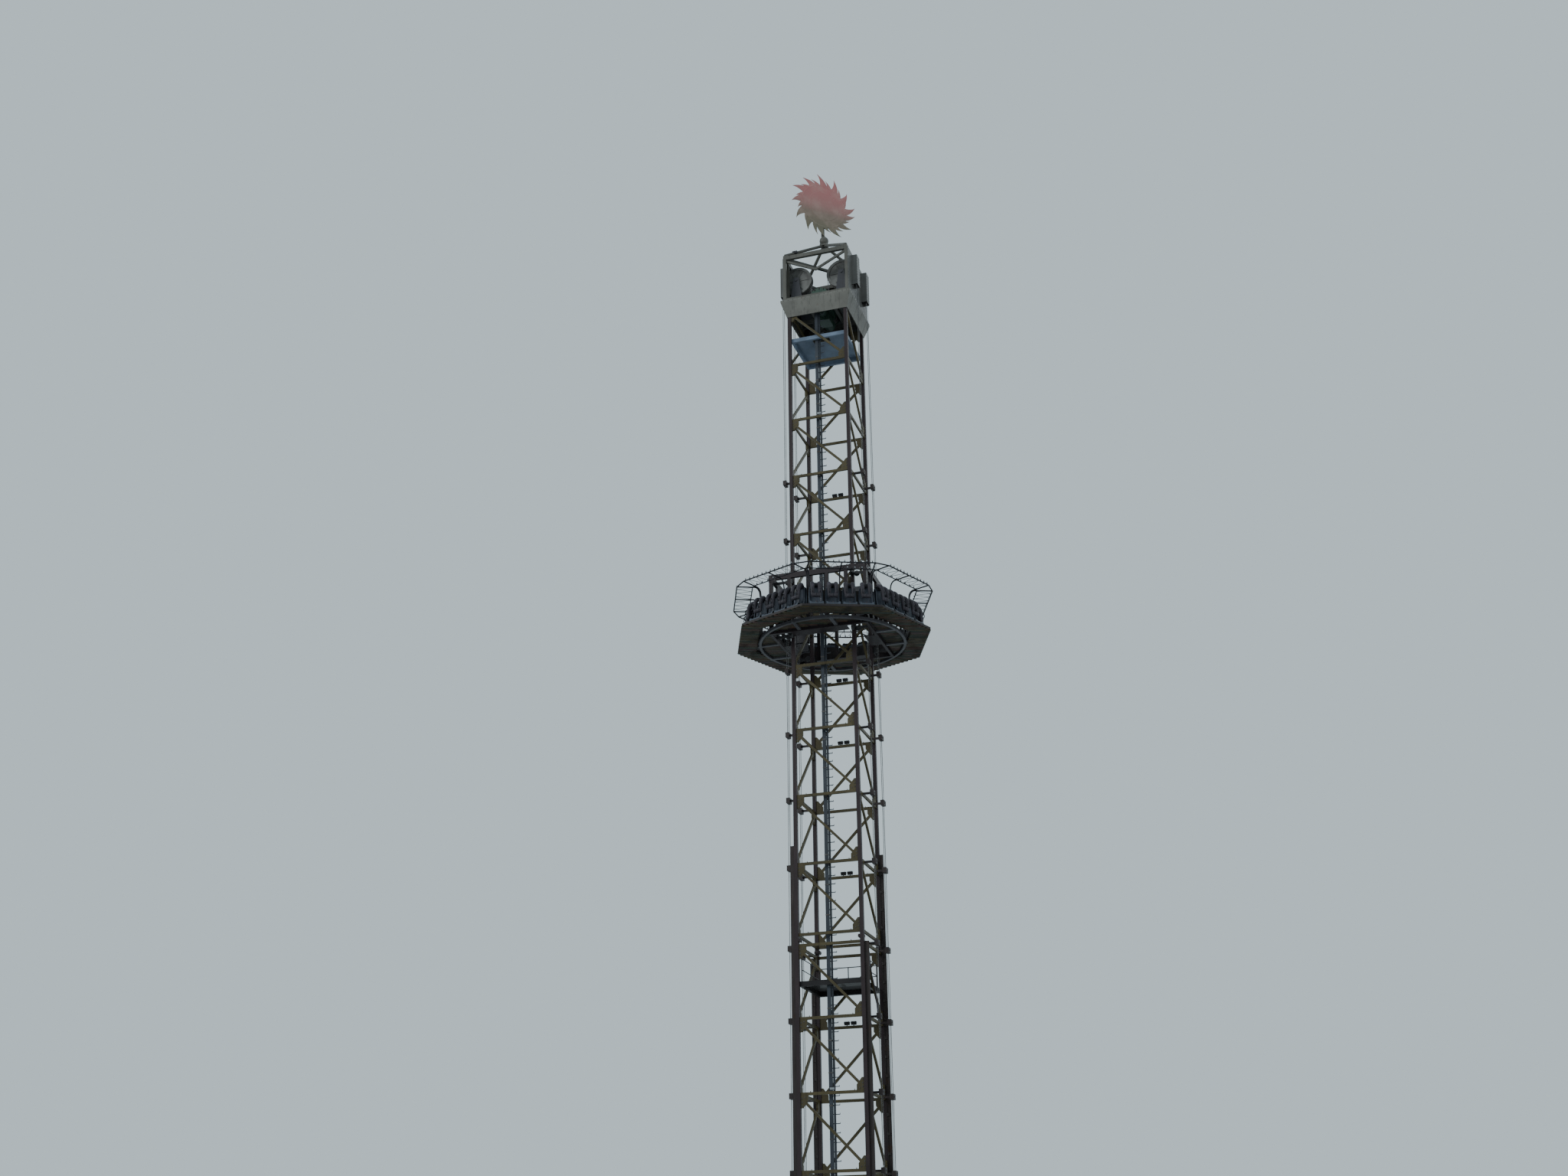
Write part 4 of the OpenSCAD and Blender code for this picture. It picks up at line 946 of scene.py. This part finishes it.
def winch_trim():
    """Rope turns on the drum, cooling fins on the motor, and bolts round the drum and sheave flanges."""
    turns, steps, lead, rope_r = 6, 28, 0.011, 0.005
    t = np.arange(turns * steps + 1) / steps
    coil_r = DRUM_R + rope_r
    x, z = coil_r * np.cos(2 * np.pi * t), DRUM_Z + coil_r * np.sin(2 * np.pi * t)
    coil = np.stack([x, lead * (t - turns / 2), z], -1)
    wound = tube(coil, rope_r + 0.0002, 7, up=(0, 1, 0))
    falls = [moved((0, side * SHEAVE_Y + s * ROPE_SIDE, 0)) for side in (-1, 1) for s in (-1, 1)]
    add_piece("drum_coils", "tower", "rope_steel", copies(wound, falls), coat=BOLT_STEEL, smooth=True)
    fin = boxes((-0.0015, 0.150, 0.094), (0.0015, 0.325, 0.106))
    count = 28
    angles = np.arange(count) * 2 * np.pi / count
    c, s = np.cos(angles), np.sin(angles)
    about = np.tile(np.eye(4), (count, 1, 1))
    about[:, 0, 0], about[:, 0, 2], about[:, 2, 0], about[:, 2, 2], about[:, 2, 3] = c, s, -s, c, MOTOR_Z
    add_piece("motor_fins", "tower", "winch_green", copies(fin, about))
    at = [place for s in (-1, 1) for place in ring_of_bolts((0, s * DRUM_END, DRUM_Z), 0.172, 12, 0, s)]
    add_piece("drum_bolts", "tower", "fin_metal", copies(hex_bolt(0.009, 0.009), at), coat=BOLT_STEEL)
    for name, sx, sy in SHEAVES:
        at = [place for s in (-1, 1) for place in
              ring_of_bolts((sx * SHEAVE_X, sy * SHEAVE_Y + s * SHEAVE_FACE, SHEAVE_Z), 0.052, 8, 0.2, s)]
        add_piece(f"hub_bolts_{name}", f"{name}_sheave", "fin_metal", copies(hex_bolt(0.006, 0.004), at),
                  coat=BOLT_STEEL)


def lamp_glass_faces():
    """Glass, rim and cooling ribs of each floodlight, tilted with its housing."""
    tilt = math.radians(25)
    c, s = math.cos(tilt), math.sin(tilt)
    tilted = np.array([[1, 0, 0, 0], [0, c, -s, -HALF], [0, s, c, 0.048], [0, 0, 0, 1]])
    outer_x, inner_x, outer_z, inner_z = 0.045, 0.0395, 0.026, 0.0205
    front, back = -0.0265, -0.0205
    rim = [boxes((-outer_x, front, -outer_z), (outer_x, back, -inner_z)),
           boxes((-outer_x, front, inner_z), (outer_x, back, outer_z)),
           boxes((-outer_x, front, -outer_z), (-inner_x, back, outer_z)),
           boxes((inner_x, front, -outer_z), (outer_x, back, outer_z))]
    ribs = [boxes((x - 0.001, 0.0, -0.018), (x + 0.001, 0.028, 0.016)) for x in np.linspace(-0.04, 0.04, 9)]
    glass = boxes((-0.038, -0.0245, -0.019), (0.038, -0.0215, 0.019))
    in_pairs_at_back, single_in_front = (4, 7, 9, 10, 14), (3, 15)
    at = [moved((x, 0, LEVELS[k] + BAR_H / 2), QUARTERS[2]) @ tilted for k in in_pairs_at_back
          for x in (-0.058, 0.058)]
    at += [moved((0, 0, LEVELS[k] + BAR_H / 2)) @ tilted for k in single_in_front]
    add_piece("lamp_faces", "tower", "lamp_housing", copies(glass, at), coat=GLASS)
    add_piece("lamp_rims", "tower", "lamp_housing", copies(join(*rim, *ribs), at))


def carriage_trim():
    """Bolted plates at the upper and lower corners of the carriage."""
    size, plate_t, inset = 0.12, 0.006, 0.012
    near, far = CARRIAGE_HALF - 0.005, CARRIAGE_HALF - 0.135
    at, plates = [], []
    for q in QUARTERS:
        for s in (-1, 1):
            x_low, x_high = sorted((s * near, s * far))
            for z in (CARRIAGE_Z + inset, CARRIAGE_TOP - size - inset):
                plate = boxes((x_low, -CARRIAGE_HALF - plate_t, z), (x_high, -CARRIAGE_HALF, z + size))
                plates.append(round_turns(plate, [q]))
                at += [outwards(s * (CARRIAGE_HALF - x), CARRIAGE_HALF + plate_t, z + dz, q)
                       for x in (0.030, 0.110) for dz in (0.025, 0.095)]
    add_piece("corner_plates", "carriage", "carriage_paint", join(*plates))
    add_piece("corner_bolts", "carriage", "fin_metal", copies(hex_bolt(0.009, 0.008), at), coat=BOLT_STEEL)


def loose_cables():
    """Cables that sag on the right face from one level bar past the landing to the next."""
    runs = []
    for shift, drop in ((0.0, 0.06), (0.03, 0.10), (0.06, 0.15)):
        path = spline([(0.560, -0.30 + shift, 6.35), (0.575, -0.18 + shift, 6.00 - drop),
                       (0.575, 0.05 + shift, 5.70 - drop), (0.562, 0.24 + shift, 5.165)], 22)
        runs.append(tube(path, 0.006, 8))
    add_piece("side_cables", "tower", "restraint_black", join(*runs), smooth=True)


def soft_lamp(name, width, power, place):
    """A square soft lamp at a place, aimed at the middle of the ride."""
    lamp = bpy.data.lights.new(name, "AREA")
    lamp.shape, lamp.size, lamp.energy = "SQUARE", width, power
    made = bpy.data.objects.new(name, lamp)
    bpy.context.scene.collection.objects.link(made)
    made.location = place
    aim = Vector((0, 0, 10)) - Vector(place)
    made.rotation_euler = aim.to_track_quat("-Z", "Y").to_euler()


def photo_camera(place, look, roll, lens):
    """The camera of the photograph, fitted to the tower's lattice: place, viewing way and roll in degrees."""
    camera = bpy.data.cameras.new("camera")
    camera.sensor_width, camera.lens = 36.0, lens
    camera.clip_end = 2000
    made = bpy.data.objects.new("camera", camera)
    bpy.context.scene.collection.objects.link(made)
    look = Vector(look).normalized()
    right = look.cross(Vector((0, 0, 1))).normalized()
    up = right.cross(look)
    c, s = math.cos(math.radians(roll)), math.sin(math.radians(roll))
    turn = Matrix((right * c + up * s, up * c - right * s, -look)).transposed().to_4x4()
    made.matrix_world = Matrix.Translation(place) @ turn
    bpy.context.scene.camera = made


def studio():
    """Pale plain floor and sky, soft even light and the camera at the photograph's angle."""
    reach = 400
    corners = [(-reach, -reach, 0), (reach, -reach, 0), (reach, reach, 0), (-reach, reach, 0)]
    mesh = bpy.data.meshes.new("floor")
    mesh.from_pydata(corners, [], [(0, 1, 2, 3)])
    floor = bpy.data.objects.new("floor", mesh)
    bpy.context.scene.collection.objects.link(floor)
    mesh.materials.append(Coat("floor_plain", base_color=(0.55, 0.56, 0.56), roughness=0.9).material)
    world = bpy.data.worlds.new("sky")
    world.use_nodes = True
    sky = world.node_tree.nodes["Background"].inputs
    sky["Color"].default_value = (0.66, 0.79, 0.85, 1)
    sky["Strength"].default_value = 0.85
    bpy.context.scene.world = world
    soft_lamp("key_light", 16, 5200, (-22, -26, 26))
    soft_lamp("fill_light", 18, 2200, (28, -18, 12))
    soft_lamp("back_light", 30, 1400, (6, 34, 34))
    photo_camera((7.99104, -27.33490, 0.58137), (-0.28405, 0.87392, 0.39443), -0.5723, 39.75)


seats()
canopy()
underside()
sun()
fasteners()
ladder_trim()
head_trim()
winch_trim()
lamp_glass_faces()
carriage_trim()
loose_cables()
studio()
